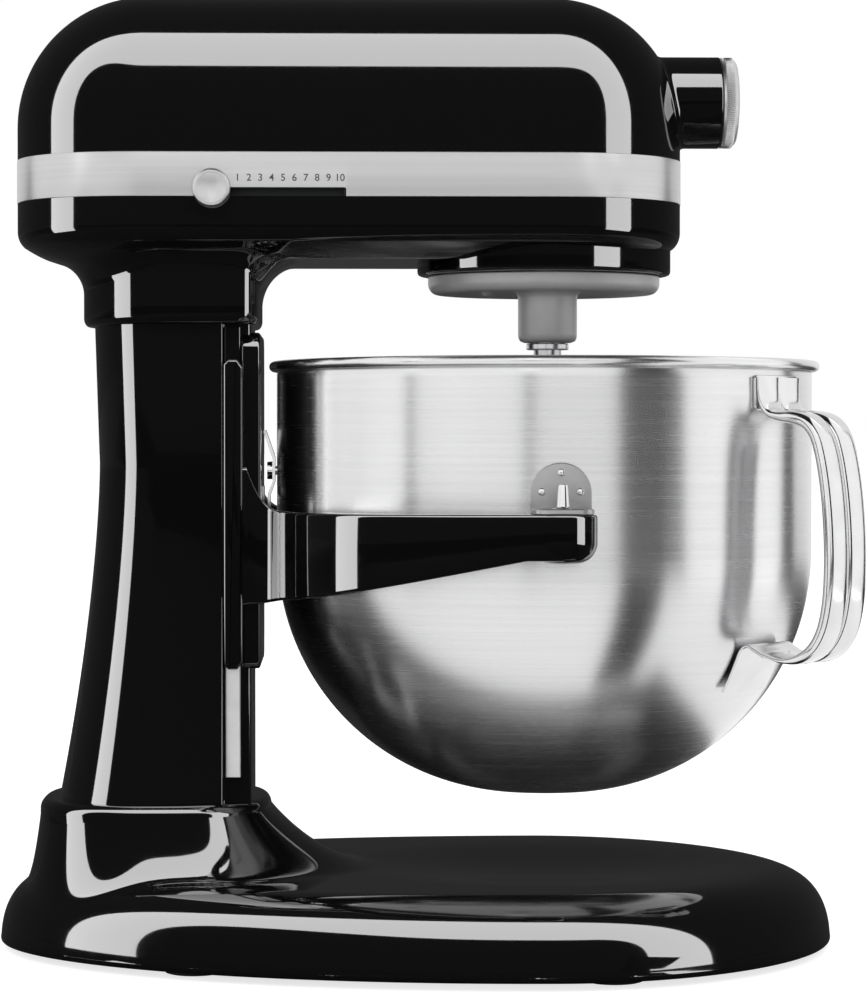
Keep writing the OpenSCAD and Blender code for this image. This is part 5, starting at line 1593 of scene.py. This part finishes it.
@dataclass(frozen=True)
class AreaLamp:
    """Rectangular lamp that faces the object. Angles are in degrees and lengths in metres."""

    name: str
    azimuth: float
    elevation: float
    distance: float
    size: tuple[float, float]
    radiance: float
    lights: Lamp = Lamp.METAL
    aim: Place = (0.02, 0.0, 0.22)

    def build(self) -> bpy.types.Object:
        """Make the lamp, with power = radiance * area * pi; azimuth 0 is in front, and 90 at +X.

        Returns:
            The lamp.
        """
        data = bpy.data.lights.new(self.name, "AREA")
        data.shape, data.size, data.size_y = "RECTANGLE", *self.size
        data.energy = self.radiance * self.size[0] * self.size[1] * math.pi
        lamp = new_object(self.name, data)
        turn, rise = math.radians(self.azimuth), math.radians(self.elevation)
        flat = math.cos(rise)
        way = Vector((math.sin(turn) * flat, -math.cos(turn) * flat, math.sin(rise)))
        look_along(lamp, Vector(self.aim) + way * self.distance, -way)
        lamp.visible_camera = False
        return lamp


@dataclass
class Studio:
    """Pale floor and surroundings, lamps and camera.

    Lengths are in metres, but the arch's and the flag's are in millimetres.
    """

    camera_place: Place = (-0.034278, -1.499242, 0.222776)
    camera_aim: Place = (0.0076, 0.0, 0.200)
    lens: float = 121.94
    floor_r: float = 80.0
    floor_tint: float = 0.5
    floor_glow: float = 0.75
    floor_shine: float = 0.94
    ambient: float = 0.3
    dim: float = 0.03
    arch_light: float = 5.2
    flag_light: float = 0.02
    arch_centre: tuple[float, float] = (20.0, 250.0)
    arch_size: tuple[float, float] = (1050.0, 1500.0)
    lamps: tuple[AreaLamp, ...] = (
        AreaLamp("left_wall", -86, 20, 0.92, (0.98, 1.4), 1.2),
        AreaLamp("front_left_panel", -34, 26, 2.0, (1.9, 2.6), 1.2),
        AreaLamp("front_panel", 11, 28, 2.2, (1.5, 2.6), 1.2),
        AreaLamp("right_wall", 84, 20, 0.92, (1.06, 1.4), 1.2),
        AreaLamp("trim_fill", 41, 20, 0.9, (0.40, 1.4), 1.15, Lamp.TRIM),
        AreaLamp("back_left_panel", -150, 24, 2.0, (1.9, 2.6), 0.9),
        AreaLamp("back_right_panel", 150, 24, 2.0, (1.9, 2.6), 0.9),
        AreaLamp("front_bounce", 0, -90, 1.0, (2.4, 1.26), 1.1, aim=(0.05, -0.77, 1.012)),
        AreaLamp("side_bounce", 0, -90, 1.0, (1.1, 0.55), 1.1, aim=(0.75, 0.135, 1.012)))

    def arch(self) -> bpy.types.Object:
        """Soft light arch over the object, from the floor on the left to the floor on the right.

        Its path in XZ is a superellipse of power 3. Its edges in Y blend, by the square of the
        path's cosine, from the top's to each side's.

        Returns:
            The arch.
        """
        turn = np.radians(np.linspace(-14, 194, 80))
        c, s = np.cos(turn), np.sin(turn)
        x, z = (middle + size * signed_power(k, 2 / 3)
                for middle, size, k in zip(self.arch_centre, self.arch_size, (c, s)))
        near, far = (np.where(c > 0, right, left) * c ** 2 - top * s ** 2 for right, left, top in (
            (-1124.0, -507.0, 1927), (-418.0, -45.0, 404)))
        sheet = Surface.grid(pts(x, np.stack([near, far]), z))
        arch = stage_sheet("light_arch", sheet, glow_material("arch_light", self.arch_light))
        arch.visible_camera = arch.visible_shadow = False
        return arch

    def flag(self) -> None:
        """Lay a black ribbon on the floor's lamps: the bowl shows it as a dark curve."""
        ribbon = np.array([[98, -150, 20], [150, -150, 20], [900, -800, 20], [620, -1060, 20]], float)
        flag = stage_sheet("light_flag", Surface.face(ribbon),
                           glow_material("flag_black", self.flag_light))
        flag.visible_camera = flag.visible_shadow = flag.visible_diffuse = False

    def camera(self) -> None:
        """Set the camera at the viewing place."""
        data = bpy.data.cameras.new("camera")
        data.lens, data.sensor_width, data.clip_end = self.lens, 36.0, 400.0
        camera = bpy.context.scene.camera = new_object("camera", data)
        place = Vector(self.camera_place)
        look_along(camera, place, Vector(self.camera_aim) - place)

    def floor(self) -> None:
        """Lay a wide disc whose glow makes it white to the camera while it keeps soft shadows.

        The disc's rings grow by a constant factor, so it is fine near the object. Reflected rays
        see the glow only behind the object, and far less of the floor's own light.
        """
        radius = np.concatenate([[0.0], np.geomspace(0.05, self.floor_r, 40)]) / MM
        made = bpy.data.materials.new("studio_floor")
        kit = Nodes.of(made)
        camera_ray, glossy_ray, through_ray = (
            kit.add("ShaderNodeLightPath").outputs[f"Is {kind} Ray"]
            for kind in ("Camera", "Glossy", "Transmission"))
        where = kit.add("ShaderNodeTexCoord").outputs["Object"]
        y = kit.add("ShaderNodeSeparateXYZ", {0: where}).outputs["Y"]
        away = kit.add("ShaderNodeVectorMath", {0: where}, operation="LENGTH").outputs["Value"]
        behind = kit.add("ShaderNodeMapRange", {"Value": y},
                         {"From Min": 0.5, "From Max": 4.0, "To Max": 0.03}).outputs[0]
        spread = kit.add("ShaderNodeMapRange", {"Value": away}, {
            "From Min": 0.35, "From Max": 1.6, "To Min": self.floor_glow, "To Max": 1.0}).outputs[0]
        seen = kit.math("MAXIMUM", camera_ray, kit.math(
            "MAXIMUM", through_ray, kit.math("MULTIPLY", glossy_ray, behind)))
        share = kit.math("SUBTRACT", 1.0, kit.math("MULTIPLY", glossy_ray, self.floor_shine))
        matt = kit.add("ShaderNodeBsdfDiffuse", {"Color": kit.math("MULTIPLY", share, self.floor_tint)})
        glow = kit.add("ShaderNodeEmission", {"Strength": kit.math("MULTIPLY", seen, spread)})
        both = kit.add("ShaderNodeAddShader", {0: matt.outputs[0], 1: glow.outputs[0]})
        kit.add("ShaderNodeOutputMaterial", {"Surface": both.outputs[0]})
        stage_sheet("studio_floor", revolve(pts(radius, 0.0), 96), made)

    def surroundings(self) -> None:
        """World: white to the camera, dim to reflections, and an even fill."""
        world = bpy.context.scene.world = bpy.data.worlds.new("surroundings")
        kit = Nodes.of(world)
        path = kit.add("ShaderNodeLightPath").outputs
        glossy_ray = path["Is Glossy Ray"]
        seen = kit.math("MAXIMUM", path["Is Camera Ray"], path["Is Transmission Ray"])
        shiny = kit.math("MULTIPLY", glossy_ray, self.dim)
        rest = kit.math("MULTIPLY", kit.math("SUBTRACT", 1.0, glossy_ray), self.ambient)
        strength = kit.math("MAXIMUM", seen, kit.math("ADD", shiny, rest))
        glow = kit.add("ShaderNodeBackground", {"Strength": strength}, {"Color": (1, 1, 1, 1)})
        kit.add("ShaderNodeOutputWorld", {"Surface": glow.outputs[0]})
        bpy.context.scene.view_settings.view_transform = "Standard"

    def build(self) -> None:
        """Set up the floor, world, lamps and camera, and link each lamp to what it lights."""
        self.camera()
        self.floor()
        self.surroundings()
        groups = {kind: bpy.data.collections.new(f"lit_as_{kind.value}") for kind in Lamp}
        for item in [o for o in bpy.data.objects if o.type == "MESH"]:
            worn = item.data.materials[:]
            groups[Lamp.ENAMEL if GLOSS_ENAMEL.material() in worn else Lamp.METAL].objects.link(item)
            if BRUSHED_BAND.material() in worn or SATIN_SILVER.material() in worn:
                groups[Lamp.TRIM].objects.link(item)
        self.arch().light_linking.receiver_collection = groups[Lamp.ENAMEL]
        self.flag()
        for lamp in self.lamps:
            lamp.build().light_linking.receiver_collection = groups[lamp.lights]
        LOG.info("studio: light arch and %d lamps", len(self.lamps))


def main() -> None:
    """Build every sub-assembly in order."""
    logging.basicConfig(level=logging.INFO, format="%(name)s: %(message)s")
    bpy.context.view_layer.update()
    dress_mechanism()
    head = Head()
    for part in (head, Hub(head), SpeedKnob(), Column(), Base(), BowlSupport(), LiftLever(), Bowl(),
                 Planetary(), Studio()):
        part.build()


if __name__ == "__main__":
    main()
